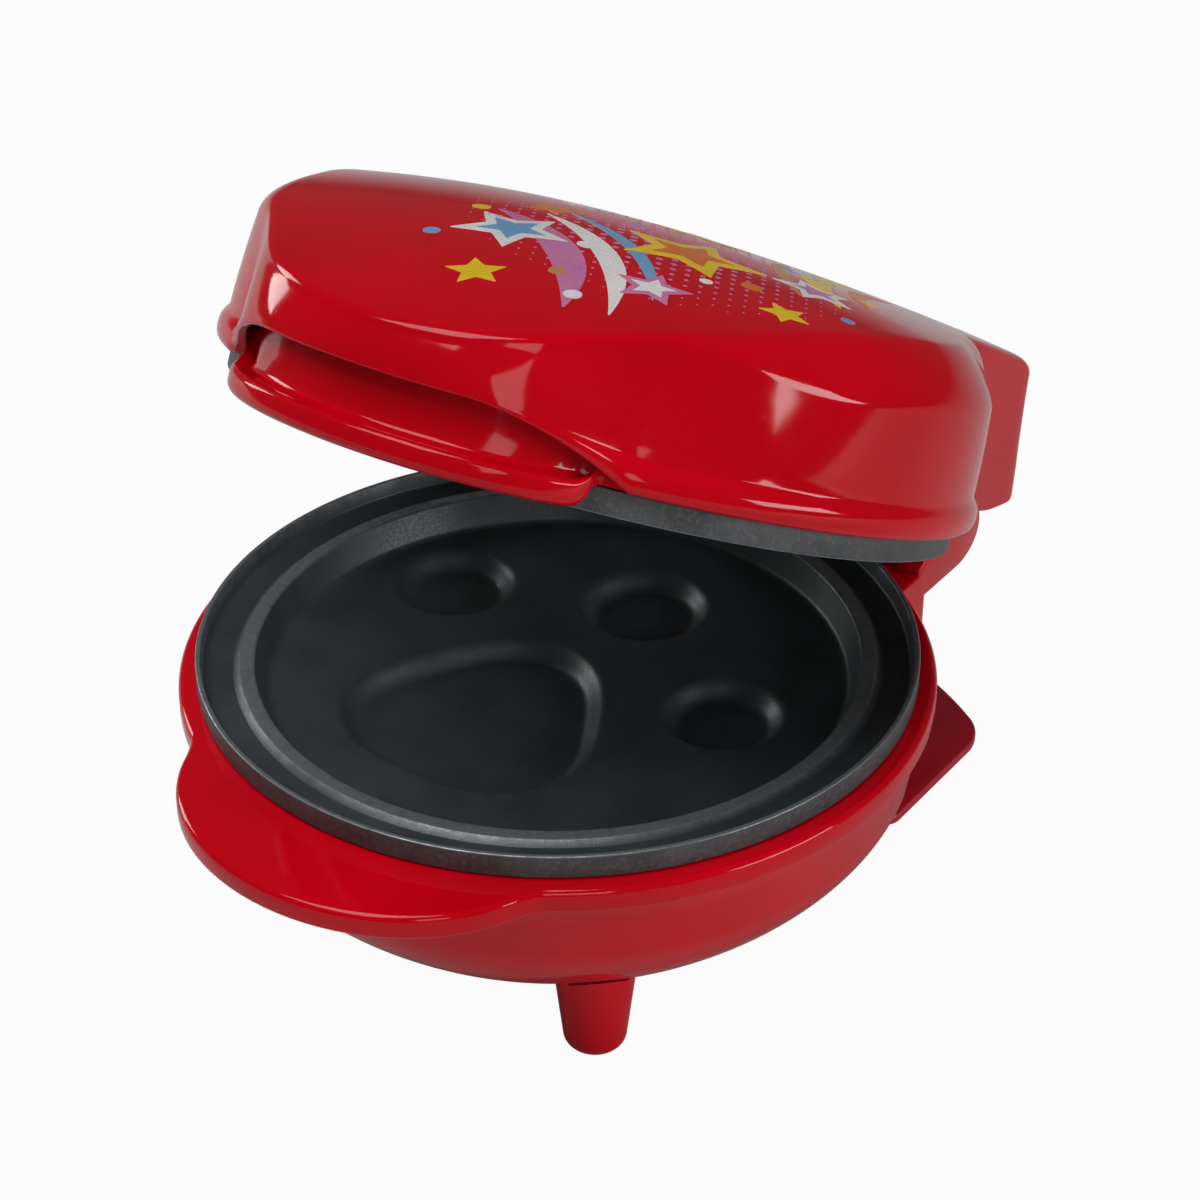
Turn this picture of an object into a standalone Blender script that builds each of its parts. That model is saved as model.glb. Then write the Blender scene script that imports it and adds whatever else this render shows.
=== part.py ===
"""A mini waffle maker: round base with a hinged lid that stands open, two cast cooking plates, four feet.

Metres, +Z up, front along -Y. The origin is on the floor, under the middle of the open appliance.
Every piece is modelled as it lies with the lid closed, about the axis of the plates. The lid's
pieces hang from an empty on the hinge axis, which is turned by the angle at which the lid stands.
"""
import math

import bmesh
import bpy
from mathutils import Vector

for leftover in list(bpy.data.objects):
    bpy.data.objects.remove(leftover, do_unlink=True)

# Gaps and overruns
CLEARANCE = 0.0003          # between pieces that touch
OVERRUN = 0.002             # how far a cutter runs past the face it opens
LID_ANGLE = 25.6            # degrees that the lid stands open

# Cooking plates, both from one casting
PLATE_RADIUS = 0.0728
PLATE_EDGE_HEIGHT = 0.0048  # rim down to the face that lies on the casing
PLATE_EDGE_WIDTH = 0.0028   # width of that face
PLATE_BODY_RADIUS = PLATE_RADIUS - PLATE_EDGE_WIDTH
PLATE_RIM_WIDTH = 0.0010
PLATE_GAP = 0.0006          # between the two rims when the lid is closed
GROOVE_DEPTH = 0.0036
GROOVE_WIDTH = 0.0063
GROOVE_INNER_RADIUS = PLATE_RADIUS - PLATE_RIM_WIDTH - GROOVE_WIDTH
GROOVE_SLOPE = 0.0008
BEAD_FOOT = 0.0015          # slope from the groove up to the bead
BEAD_OUTER_RADIUS = GROOVE_INNER_RADIUS - BEAD_FOOT
BEAD_WIDTH = 0.0028
BEAD_INNER_RADIUS = BEAD_OUTER_RADIUS - BEAD_WIDTH
BEAD_DEPTH = 0.0026         # its crown below the rim
BEAD_ROUND = 0.0009
CAVITY_DEPTH = 0.0090
CAVITY_DRAFT = 0.0025
CAVITY_FILLET = 0.0016
PLATE_THICKNESS = 0.0080    # below the cavity's floor
PLATE_SHELF_DEPTH = 0.0066  # rim to the underside of the groove's shelf
PLATE_SHELF_WIDTH = 0.0045
PLATE_PAN_RADIUS = PLATE_BODY_RADIUS - PLATE_SHELF_WIDTH
PLATE_PAN_TAPER = 0.0050
PAD_DEPTH = 0.0036          # paw pads sunk in the cavity's floor
PAD_DRAFT = 0.0045
PAD_SWELL = 0.0022          # how far the main pad's three corners stand out
BOSS_CIRCLE_RADIUS = 0.0290
BOSS_RADIUS = 0.0042
BOSS_LENGTH = 0.0070

# Heating elements
ELEMENT_RADIUS = 0.0420
ELEMENT_TUBE_RADIUS = 0.0032
ELEMENT_CHANNEL_DEPTH = 0.0026
ELEMENT_LEG_LENGTH = 0.0066
ELEMENT_OPENING = 34.0      # degrees between its two legs

# Lower casing
FOOT_HEIGHT = 0.0200        # floor to the casing's lower edge
BOWL_HEIGHT = 0.0375        # lower edge to the flange's top
CASING_WALL = 0.0022
FLANGE_BORDER = 0.0037      # flange outside the plate
FLANGE_RADIUS = PLATE_RADIUS + FLANGE_BORDER
FLANGE_LIP = 0.0013         # flange outside the bowl
BOWL_TOP_RADIUS = FLANGE_RADIUS - FLANGE_LIP
BOWL_TAPER = 0.0024         # from the top to where the side starts to turn in
BOWL_SIDE_RADIUS = BOWL_TOP_RADIUS - BOWL_TAPER
BOWL_TURN_IN = 0.0152       # from there to the lower edge
BOWL_BOTTOM_RADIUS = BOWL_SIDE_RADIUS - BOWL_TURN_IN
BOWL_TURN_HEIGHT = 0.0202   # lower edge to that turn
FLANGE_HEIGHT = 0.0050
FLANGE_FILLET = 0.0014
LEDGE_THICKNESS = 0.0026
PLATE_OPENING_GAP = 0.0006

# Handle lobes
HANDLE_SET_IN = 0.0183      # middle of the lobe's ellipse inside the flange
HANDLE_CENTRE = FLANGE_RADIUS - HANDLE_SET_IN
HANDLE_HALF_WIDTH = 0.0414
HANDLE_HALF_LENGTH = 0.0336
NOTCH_FILLET = 0.0035       # where lobe and round meet
LID_HANDLE_HALF_WIDTH = 0.0404
LID_HANDLE_HALF_LENGTH = 0.0290
HANDLE_RIB = 0.0018
HANDLE_RIB_COUNT = 3
HANDLE_POCKET_ANGLE = 25.0  # degrees each side of the front

# Hinge
HINGE_OFFSET = 0.0109       # axis behind the flange
HINGE_BACK = FLANGE_RADIUS + HINGE_OFFSET
HINGE_DROP = 0.0056         # below the lower plate's rim
EAR_RADIUS = 0.0094
EAR_DROP = 0.0074           # axis down to the ear's lower edge
EAR_OUTER = 0.0437          # half the width over the ears
EAR_THICKNESS = 0.0055
KNUCKLE_RADIUS = 0.0076
KNUCKLE_WIDTH = 0.0078
HEEL_REACH = 0.0114         # the heel that stops the open lid
PIN_RADIUS = 0.0022
PIN_BORE_GAP = 0.0003
PIN_SEAT_FLOOR = 0.0012     # left of the ear behind the pin
PEDESTAL_SET_BACK = 0.0005  # its back wall behind the bowl's widest
PEDESTAL_BASE = 0.0090      # its lower edge above the casing's
PEDESTAL_SLOPE = 0.0060
PEDESTAL_CORNER = 0.0034

# Cord gland in the pedestal
GLAND_HEIGHT = 0.0180       # above the casing's lower edge
GLAND_RADIUS = 0.0052
GLAND_FLANGE_RADIUS = 0.0070
GLAND_FLANGE_THICKNESS = 0.0016
GLAND_BORE_RADIUS = 0.0034

# Base plate and its wing
BASE_PLATE_INSET = 0.0031   # inside the bowl's lower edge
BASE_PLATE_RADIUS = BOWL_BOTTOM_RADIUS - BASE_PLATE_INSET
BASE_PLATE_THICKNESS = 0.0023
WING_HALF_WIDTH = 0.0595
WING_FRONT = 0.0350
WING_REACH = 0.0187         # its rear edge behind the flange
WING_RADIUS = FLANGE_RADIUS + WING_REACH
WING_CORNER = 0.0115
WING_FRONT_CORNER = 0.0040
VENT_LENGTH = 0.0240
VENT_WIDTH = 0.0022
VENT_PITCH = 0.0062
VENT_COUNT = 5

# Feet
FOOT_INSET = 0.0030         # middle of a foot inside the base plate's edge
FOOT_ANGLE = 43.4           # degrees from the front or the back
FOOT_CIRCLE = BASE_PLATE_RADIUS - FOOT_INSET
FOOT_SIDE = FOOT_CIRCLE * math.sin(math.radians(FOOT_ANGLE))
FOOT_FRONT = FOOT_CIRCLE * math.cos(math.radians(FOOT_ANGLE))
FOOT_TOP_RADIUS = 0.0086
FOOT_TIP_RADIUS = 0.0064
FOOT_ROUND = 0.0030
FOOT_SPIGOT_RADIUS = 0.0040
FOOT_COLLAR = 0.0024        # how far it reaches up round the bowl

# Lid housing, which fits inside the cover
COVER_BORDER = 0.0021       # cover outside the plate
COVER_RADIUS = PLATE_RADIUS + COVER_BORDER
COVER_WALL = 0.0014
HOUSING_GAP = 0.0005        # between housing and cover
HOUSING_RADIUS = COVER_RADIUS - COVER_WALL - HOUSING_GAP
HOUSING_WALL = 0.0020
HOUSING_RIM_HEIGHT = 0.0060 # above the upper plate's edge
LOBE_DROP = 0.0046          # lobe's underside below the lip's
LOBE_FLOOR = 0.0036
LOBE_WALL = 0.0016
LOBE_ROUND = 0.0016
TRAY_SLOPE = 0.0024
LEDGE_HEIGHT = 0.0050       # lobe's underside to the finger ledge
FINGER_RECESS = 0.0047
RECESS_WALL_HEIGHT = 0.0125 # above the ledge
DECK_HEIGHT = 0.0042        # deck's top above the upper plate's edge
DECK_WIDTH = 0.0038
INNER_DISH_FOOT = HOUSING_RADIUS - DECK_WIDTH
INNER_DISH_SLOPE = 0.0072
INNER_DISH_RADIUS = INNER_DISH_FOOT - INNER_DISH_SLOPE
ARM_TOP = 0.0085            # arm's upper edge above the lip's underside
ARM_ROOT = 0.0047           # how far the arm reaches in over the dish's foot
ARM_FRONT = INNER_DISH_FOOT - ARM_ROOT
ARM_ELBOW = 0.0030

# Lid cover
COVER_NOTCH_FILLET = 0.0070
LIP_FLARE = 0.0015
LIP_RADIUS = COVER_RADIUS + LIP_FLARE
LIP_HEIGHT = 0.0066
SKIRT_LIFT = 0.0100         # skirt at the handle above the lip's underside
SKIRT_REACH = 36.5          # degrees from the front to where the lift starts
SKIRT_SPREAD = 21.0         # degrees over which it rises
SKIRT_EDGE = 0.0016
BLOCK_BORDER = 0.0067       # block outside the ears, on each side
BLOCK_HALF_WIDTH = EAR_OUTER + BLOCK_BORDER
BLOCK_REACH = 0.0074        # back wall behind the hinge axis, at its lower edge
BLOCK_BACK = HINGE_BACK + BLOCK_REACH
BLOCK_LEAN = 0.0047         # how far it leans in by its top
BLOCK_CORNER = 0.0040
BLOCK_DROP = 0.0030         # block's lower edge below the lip's underside
BLOCK_HEEL_RISE = 0.0030    # how far that edge rises again at the back corners
COVER_TIP_HEIGHT = 0.0240   # above the lower plate's rim, lid closed
COVER_PEAK_HEIGHT = 0.0465  # over the plate axis
COVER_BACK_HEIGHT = 0.0383
COVER_SIDE_FALL = 0.0078
COVER_SHOULDER = 0.0055
COVER_DRAFT = 0.0012        # how far the wall leans in by the shoulder

# Sheet, screws and small electrical pieces
REFLECTOR_INSET = 0.0050    # inside the housing's dish
REFLECTOR_RADIUS = INNER_DISH_RADIUS - REFLECTOR_INSET
REFLECTOR_SHEET = 0.0008
REFLECTOR_RISE = 0.0050
SCREW_RADIUS = 0.0015
SCREW_HEAD_RADIUS = 0.0032
SCREW_HEAD_HEIGHT = 0.0018
SCREW_GRIP = 0.0045         # length inside its boss
POST_RADIUS = 0.0042
THERMOSTAT_RADIUS = 0.0085
THERMOSTAT_HEIGHT = 0.0062
FUSE_RADIUS = 0.0020
FUSE_LENGTH = 0.0150
FUSE_OFFSET = 0.0170
BLOCK_LENGTH = 0.0240
BLOCK_DEPTH = 0.0110
TERMINAL_HEIGHT = 0.0090
TERMINAL_INSET = 0.0176     # its middle inside the bowl's lower edge
TERMINAL_BACK = BOWL_BOTTOM_RADIUS - TERMINAL_INSET
LEAD_RADIUS = 0.0012
LEAD_PITCH = 0.0100         # between the two leads at the terminals
HINGE_LEAD_RADIUS = 0.0018
HINGE_LEAD_SIDE = 0.0180
COVER_SCREW_SIDE = 0.0095
COVER_SCREW_REACH = 0.0190  # in front of the lobe's middle
COVER_SCREW_FRONT = HANDLE_CENTRE + COVER_SCREW_REACH
COVER_BOSS_RADIUS = 0.0024

# Heights worked out from the sizes
flange_z = FOOT_HEIGHT + BOWL_HEIGHT
rim_z = flange_z + CLEARANCE + PLATE_EDGE_HEIGHT
upper_rim_z = rim_z + PLATE_GAP
lip_z = upper_rim_z + PLATE_EDGE_HEIGHT + CLEARANCE
deck_z = lip_z + DECK_HEIGHT
lobe_z = lip_z - LOBE_DROP
ledge_z = lobe_z + LEDGE_HEIGHT
tray_z = lobe_z + LOBE_FLOOR
hinge_z = rim_z - HINGE_DROP
plate_depth = CAVITY_DEPTH + PLATE_THICKNESS
base_top_z = FOOT_HEIGHT - CLEARANCE
base_under_z = base_top_z - BASE_PLATE_THICKNESS
ear_inner = EAR_OUTER - EAR_THICKNESS
knuckle_outer = ear_inner - CLEARANCE
boss_end = plate_depth + BOSS_LENGTH
reflector_depth = boss_end + CLEARANCE
dish_depth = reflector_depth + REFLECTOR_SHEET + CLEARANCE
dish_top_z = upper_rim_z + dish_depth + HOUSING_WALL
pedestal_back = BOWL_TOP_RADIUS + PEDESTAL_SET_BACK
head_sink = SCREW_HEAD_HEIGHT + CLEARANCE
cover_corner = 180.0 - math.degrees(math.asin(BLOCK_HALF_WIDTH / COVER_RADIUS))
block_corner = 180.0 - math.degrees(math.atan2(BLOCK_HALF_WIDTH, BLOCK_BACK))
boss_angles = [60.0, 180.0, 300.0]
base_lobe = (HANDLE_HALF_WIDTH, HANDLE_HALF_LENGTH)
lid_lobe = (LID_HANDLE_HALF_WIDTH, LID_HANDLE_HALF_LENGTH)


def material(name, colour, roughness, metallic):
    """A Principled material with one colour."""
    made = bpy.data.materials.new(name)
    made.use_nodes = True
    shader = made.node_tree.nodes["Principled BSDF"]
    shader.inputs["Base Color"].default_value = (*colour, 1.0)
    shader.inputs["Roughness"].default_value = roughness
    shader.inputs["Metallic"].default_value = metallic
    made.diffuse_color = (*colour, 1.0)
    return made


red_gloss = material("red gloss plastic", (0.53, 0.0, 0.008), 0.12, 0.0)
red_satin = material("red satin plastic", (0.45, 0.0, 0.007), 0.3, 0.0)
non_stick = material("non-stick coating", (0.035, 0.042, 0.046), 0.42, 0.35)
bright_steel = material("bright steel", (0.62, 0.62, 0.64), 0.28, 1.0)
sheet_metal = material("aluminised sheet", (0.70, 0.70, 0.70), 0.35, 1.0)
heater_sheath = material("heater sheath", (0.16, 0.15, 0.14), 0.5, 0.9)
white_ceramic = material("white ceramic", (0.80, 0.78, 0.74), 0.5, 0.0)
black_rubber = material("black rubber", (0.02, 0.02, 0.02), 0.7, 0.0)
glass_sleeve = material("glass fibre sleeve", (0.75, 0.72, 0.64), 0.8, 0.0)

# The two bodies: what stands on the floor, and what swings about the hinge
base_frame = bpy.data.objects.new("base_frame", None)
lid_frame = bpy.data.objects.new("lid_frame", None)
for frame in (base_frame, lid_frame):
    bpy.context.collection.objects.link(frame)
lid_frame.parent = base_frame
lid_frame.location = (0.0, HINGE_BACK, hinge_z)
lid_frame.rotation_euler = (-math.radians(LID_ANGLE), 0.0, 0.0)


def add_object(name, bm, finish, on_lid):
    """Links a mesh as an object of the base or of the lid."""
    bmesh.ops.remove_doubles(bm, verts=bm.verts, dist=CLEARANCE / 30.0)
    bmesh.ops.recalc_face_normals(bm, faces=bm.faces)
    mesh = bpy.data.meshes.new(name)
    bm.to_mesh(mesh)
    bm.free()
    mesh.shade_smooth()
    mesh.set_sharp_from_angle(angle=math.radians(35.0))
    made = bpy.data.objects.new(name, mesh)
    if finish:
        mesh.materials.append(finish)
    bpy.context.collection.objects.link(made)
    made.parent = lid_frame if on_lid else base_frame
    if on_lid:
        made.location = (0.0, -HINGE_BACK, -hinge_z)
    return made


def loft(name, rings, finish=None, on_lid=False, closed=False):
    """Skins rings of points in order. A ring of one point is a pole, and wider end rings are capped."""
    bm = bmesh.new()
    loops = [[bm.verts.new(point) for point in ring] for ring in rings]
    pairs = list(zip(loops, loops[1:]))
    if closed:
        pairs.append((loops[-1], loops[0]))
    for low, high in pairs:
        count = max(len(low), len(high))
        for i in range(count):
            j = (i + 1) % count
            if len(low) == 1:
                bm.faces.new((low[0], high[j], high[i]))
            elif len(high) == 1:
                bm.faces.new((low[i], low[j], high[0]))
            else:
                bm.faces.new((low[i], low[j], high[j], high[i]))
    if not closed:
        for loop in (loops[0], loops[-1]):
            if len(loop) > 1:
                bm.faces.new(loop)
    return add_object(name, bm, finish, on_lid)


def circle_stations(count):
    return [360.0 * (i + 0.5) / count for i in range(count)]


def mirrored_stations(spans):
    """Angles from the front, closer together where the outline turns: (start, end, steps) on one side."""
    half = [start + (end - start) * i / steps for start, end, steps in spans for i in range(steps)]
    return half + [180.0] + [360.0 - angle for angle in reversed(half[1:])]


def polar(angle, radius, height):
    turn = math.radians(angle)
    return Vector((radius * math.sin(turn), -radius * math.cos(turn), height))


def turned(name, profile, segments, finish=None, on_lid=False, closed=False, centre=(0.0, 0.0)):
    """A turned solid: (radius, height) pairs swept round the vertical through centre."""
    stations = circle_stations(segments)
    shift = Vector((centre[0], centre[1], 0.0))
    rings = [[polar(angle, radius, height) + shift for angle in stations] if radius > 0.0
             else [Vector((0.0, 0.0, height)) + shift] for radius, height in profile]
    return loft(name, rings, finish, on_lid, closed)


def rod(name, start, end, radius, segments, finish=None, on_lid=False, closed=False):
    """A round bar between two points."""
    start, end = Vector(start), Vector(end)
    along = (end - start).normalized()
    side = along.orthogonal().normalized()
    other = along.cross(side)
    turns = [math.tau * i / segments for i in range(segments)]
    rings = [[point + side * (radius * math.cos(t)) + other * (radius * math.sin(t)) for t in turns]
             for point in (start, end)]
    return loft(name, rings, finish, on_lid, closed)


def prism(name, outline, low, high, finish=None, on_lid=False, across=False):
    """A flat outline pushed between two levels: upwards, or across along X."""
    if across:
        rings = [[Vector((level, y, z)) for y, z in outline] for level in (low, high)]
    else:
        rings = [[Vector((x, y, level)) for x, y in outline] for level in (low, high)]
    return loft(name, rings, finish, on_lid)


def tube(name, points, radius, resolution, finish, on_lid=False):
    """A bent tube or lead along points, as a curve with a round bevel and filled caps."""
    curve = bpy.data.curves.new(name, "CURVE")
    curve.dimensions = "3D"
    curve.bevel_depth = radius
    curve.bevel_resolution = resolution
    curve.use_fill_caps = True
    spline = curve.splines.new("POLY")
    spline.points.add(len(points) - 1)
    for slot, point in zip(spline.points, points):
        slot.co = (*point, 1.0)
    curve.materials.append(finish)
    made = bpy.data.objects.new(name, curve)
    bpy.context.collection.objects.link(made)
    made.parent = lid_frame if on_lid else base_frame
    if on_lid:
        made.location = (0.0, -HINGE_BACK, -hinge_z)
    return made


def combine(target, tool, operation):
    """Adds tool to target, or cuts it away, with a Boolean, and hides the tool."""
    modifier = target.modifiers.new(tool.name, "BOOLEAN")
    modifier.object = tool
    modifier.operation = operation
    modifier.solver = "EXACT"
    tool.hide_render = True
    tool.display_type = "WIRE"


def weld(target, *tools):
    for tool in tools:
        combine(target, tool, "UNION")


def cut(target, *tools):
    for tool in tools:
        combine(target, tool, "DIFFERENCE")


def ease(value):
    """0 below 0, 1 above 1, and a smooth step between."""
    value = min(max(value, 0.0), 1.0)
    return value * value * (3.0 - 2.0 * value)


def mix(a, b, share):
    return a + (b - a) * share


def soft_max(a, b, fillet):
    """The larger of two radii, with a fillet where they cross."""
    share = min(max(0.5 + (a - b) / (2.0 * fillet), 0.0), 1.0)
    return mix(b, a, share) + fillet * share * (1.0 - share)


def off_front(angle):
    """Degrees away from the front, 0 to 180."""
    return min(angle, 360.0 - angle)


def lobe_reach(angle, lobe, inset=0.0):
    """Distance from the plate axis to a handle's ellipse, or 0 where the ray misses it."""
    half_width, half_length = lobe
    turn = math.radians(angle)
    across = math.sin(turn) / (half_width - inset)
    ahead = math.cos(turn) / (half_length - inset)
    offset = HANDLE_CENTRE / (half_length - inset)
    squared = across * across + ahead * ahead
    root = (ahead * offset) ** 2 - squared * (offset * offset - 1.0)
    if root < 0.0 or ahead < 0.0:
        return 0.0
    return (ahead * offset + math.sqrt(root)) / squared


def handle_outline(angle, lobe, round_radius, fillet, inset=0.0):
    """Round body and handle lobe in one outline."""
    return soft_max(lobe_reach(angle, lobe, inset), round_radius - inset, fillet)


def lobe_share(angle):
    """1 on the lid's handle lobe, 0 on the round body, turning over at the notch."""
    proud = lobe_reach(angle, lid_lobe) - COVER_RADIUS
    return ease(proud / NOTCH_FILLET + 0.5)


# Lower casing

casing_stations = mirrored_stations([(0.0, 24.0, 4), (24.0, 42.0, 7), (42.0, 180.0, 16)])


def bowl_radius(height):
    """Outer radius of the bowl at a height above its lower edge."""
    side_height = BOWL_HEIGHT - FLANGE_HEIGHT
    if height > BOWL_TURN_HEIGHT:
        share = (height - BOWL_TURN_HEIGHT) / (side_height - BOWL_TURN_HEIGHT)
        return mix(BOWL_SIDE_RADIUS, BOWL_TOP_RADIUS, share)
    turn_share = (1.0 - height / BOWL_TURN_HEIGHT) ** 1.6
    return mix(BOWL_SIDE_RADIUS, BOWL_BOTTOM_RADIUS, turn_share)


def casing_ring(radius, height):
    return [polar(angle, radius, height) for angle in casing_stations]


def casing_outline_ring(inset, height):
    return [polar(angle, handle_outline(angle, base_lobe, FLANGE_RADIUS, NOTCH_FILLET) - inset, height)
            for angle in casing_stations]


def build_lower_casing():
    under_flange = BOWL_HEIGHT - FLANGE_HEIGHT
    turn_heights = [BOWL_TURN_HEIGHT * share for share in (0.0, 0.25, 0.5, 0.75, 1.0)]
    rings = [casing_ring(bowl_radius(height), FOOT_HEIGHT + height) for height in turn_heights]
    rings += [
        casing_ring(BOWL_TOP_RADIUS, FOOT_HEIGHT + under_flange),
        casing_outline_ring(FLANGE_FILLET / 2.0, flange_z - FLANGE_HEIGHT),
        casing_outline_ring(0.0, flange_z - FLANGE_HEIGHT + FLANGE_FILLET / 2.0),
        casing_outline_ring(0.0, flange_z - FLANGE_FILLET),
        casing_outline_ring(FLANGE_FILLET * 0.3, flange_z - FLANGE_FILLET * 0.3),
        casing_outline_ring(FLANGE_FILLET, flange_z),
    ]
    casing = loft("lower_casing", rings, red_gloss)

    # Pedestal under the hinge, as wide as the ears
    base_z = FOOT_HEIGHT + PEDESTAL_BASE
    inner_y = BOWL_BOTTOM_RADIUS - CASING_WALL
    pedestal_top = flange_z - FLANGE_FILLET
    plan = [(-EAR_OUTER, inner_y), (EAR_OUTER, inner_y)]
    for start in (0.0, 90.0):
        for i in range(5):
            a = math.radians(start + 90.0 * i / 4.0)
            middle = (EAR_OUTER - PEDESTAL_CORNER) * (1.0 if start == 0.0 else -1.0)
            plan.append((middle + PEDESTAL_CORNER * math.cos(a),
                         pedestal_back - PEDESTAL_CORNER + PEDESTAL_CORNER * math.sin(a)))
    pedestal = prism("pedestal block", plan, base_z, pedestal_top)
    slope = [
        (pedestal_back - PEDESTAL_SLOPE - OVERRUN, base_z - OVERRUN),
        (pedestal_back + OVERRUN, base_z - OVERRUN),
        (pedestal_back + OVERRUN, base_z + PEDESTAL_SLOPE + OVERRUN),
    ]
    weld(casing, pedestal)
    cut(casing, prism("pedestal slope", slope, -EAR_OUTER - OVERRUN, EAR_OUTER + OVERRUN, across=True))

    # Ears: a round end about the hinge axis, drawn forward onto the pedestal
    arc_angles = [math.radians(-90.0 + 215.0 * i / 15.0) for i in range(16)]
    ear = [(HINGE_BACK + EAR_RADIUS * math.cos(a),
            hinge_z + (EAR_RADIUS if a > 0.0 else EAR_DROP) * math.sin(a)) for a in arc_angles]
    ear.append((pedestal_back - EAR_THICKNESS, flange_z))
    ear.append((pedestal_back - EAR_THICKNESS, hinge_z - EAR_DROP))
    for side, sign in (("left", -1.0), ("right", 1.0)):
        weld(casing, prism(f"ear blank {side}", ear, sign * ear_inner, sign * EAR_OUTER, across=True))

    # The inside: bowl, plate opening, pedestal
    inner_heights = [BOWL_TURN_HEIGHT * share for share in (0.25, 0.5, 0.75, 1.0)]
    inside = [casing_ring(BOWL_BOTTOM_RADIUS - CASING_WALL, FOOT_HEIGHT - OVERRUN)]
    inside.append(casing_ring(BOWL_BOTTOM_RADIUS - CASING_WALL, FOOT_HEIGHT + CASING_WALL))
    inside += [casing_ring(bowl_radius(h) - CASING_WALL, FOOT_HEIGHT + h + CASING_WALL / 2.0)
               for h in inner_heights]
    ledge_z = flange_z - LEDGE_THICKNESS
    opening = PLATE_BODY_RADIUS + PLATE_OPENING_GAP
    inside += [
        casing_ring(BOWL_TOP_RADIUS - CASING_WALL, ledge_z),
        casing_ring(opening, ledge_z),
        casing_ring(opening, flange_z + OVERRUN),
    ]
    cut(casing, loft("casing cavity", inside))
    hollow = [
        (BOWL_BOTTOM_RADIUS - EAR_RADIUS, base_z + CASING_WALL),
        (pedestal_back - PEDESTAL_SLOPE - CASING_WALL / 2.0, base_z + CASING_WALL),
        (pedestal_back - CASING_WALL, base_z + PEDESTAL_SLOPE + CASING_WALL / 2.0),
        (pedestal_back - CASING_WALL, ledge_z - CASING_WALL),
        (BOWL_BOTTOM_RADIUS - EAR_RADIUS, ledge_z - CASING_WALL),
    ]
    hollow_side = EAR_OUTER - CASING_WALL
    cut(casing, prism("pedestal cavity", hollow, -hollow_side, hollow_side, across=True))

    # Pockets under the handle, with ribs left between them
    pocket_top = flange_z - CASING_WALL
    pocket_count = HANDLE_RIB_COUNT + 1
    step = 2.0 * HANDLE_POCKET_ANGLE / pocket_count
    for i in range(pocket_count):
        start = -HANDLE_POCKET_ANGLE + step * i
        outer, inner = [], []
        for share in (0.0, 0.25, 0.5, 0.75, 1.0):
            rib = math.degrees(HANDLE_RIB / 2.0 / FLANGE_RADIUS)
            shifted = start + rib + (step - 2.0 * rib) * share
            reach = handle_outline(shifted % 360.0, base_lobe, FLANGE_RADIUS, NOTCH_FILLET) - CASING_WALL
            point = polar(shifted, reach, 0.0)
            outer.append((point.x, point.y))
            point = polar(shifted, BOWL_TOP_RADIUS + CASING_WALL / 2.0, 0.0)
            inner.append((point.x, point.y))
        outline = outer + inner[::-1]
        cut(casing, prism(f"handle pocket {i + 1}", outline, flange_z - FLANGE_HEIGHT - OVERRUN, pocket_top))

    # Blind seats for the hinge pins, and the gland's hole
    for side, sign in (("left", -1.0), ("right", 1.0)):
        cut(casing, rod(f"pin seat {side}", (sign * (ear_inner - OVERRUN), HINGE_BACK, hinge_z),
                        (sign * (EAR_OUTER - PIN_SEAT_FLOOR), HINGE_BACK, hinge_z),
                        PIN_RADIUS + PIN_BORE_GAP, 16))
    gland_z = FOOT_HEIGHT + GLAND_HEIGHT
    cut(casing, rod("gland hole", (0.0, pedestal_back + OVERRUN, gland_z),
                    (0.0, pedestal_back - CASING_WALL - OVERRUN, gland_z), GLAND_RADIUS + CLEARANCE, 20))
    lead_start = (-HINGE_LEAD_SIDE, pedestal_back + OVERRUN, hinge_z - HINGE_DROP)
    lead_end = (-HINGE_LEAD_SIDE, pedestal_back - CASING_WALL - OVERRUN, hinge_z - HINGE_DROP)
    cut(casing, rod("hinge lead hole", lead_start, lead_end, HINGE_LEAD_RADIUS + CLEARANCE, 12))
    return casing


# Cooking plates

def paw_pads():
    """Places and radii of a paw's pads, as shares of the cavity's floor: the main pad, then three toes."""
    return [(-0.08, -0.34, 0.455), (-0.65, 0.26, 0.23), (0.0, 0.53, 0.24), (0.60, 0.12, 0.22)]


def pad_ring(pad_share, widen, height, count):
    """One level of a pad. The widest pad has three blunt corners."""
    x, y, size = pad_share
    radius = BEAD_INNER_RADIUS - CAVITY_DRAFT
    swell = PAD_SWELL if count > 12 else 0.0
    points = []
    for i in range(count):
        t = math.tau * i / count
        reach = size * radius + widen - swell * math.sin(3.0 * t)
        points.append(Vector((x * radius + reach * math.cos(t), y * radius + reach * math.sin(t), height)))
    return points


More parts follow.
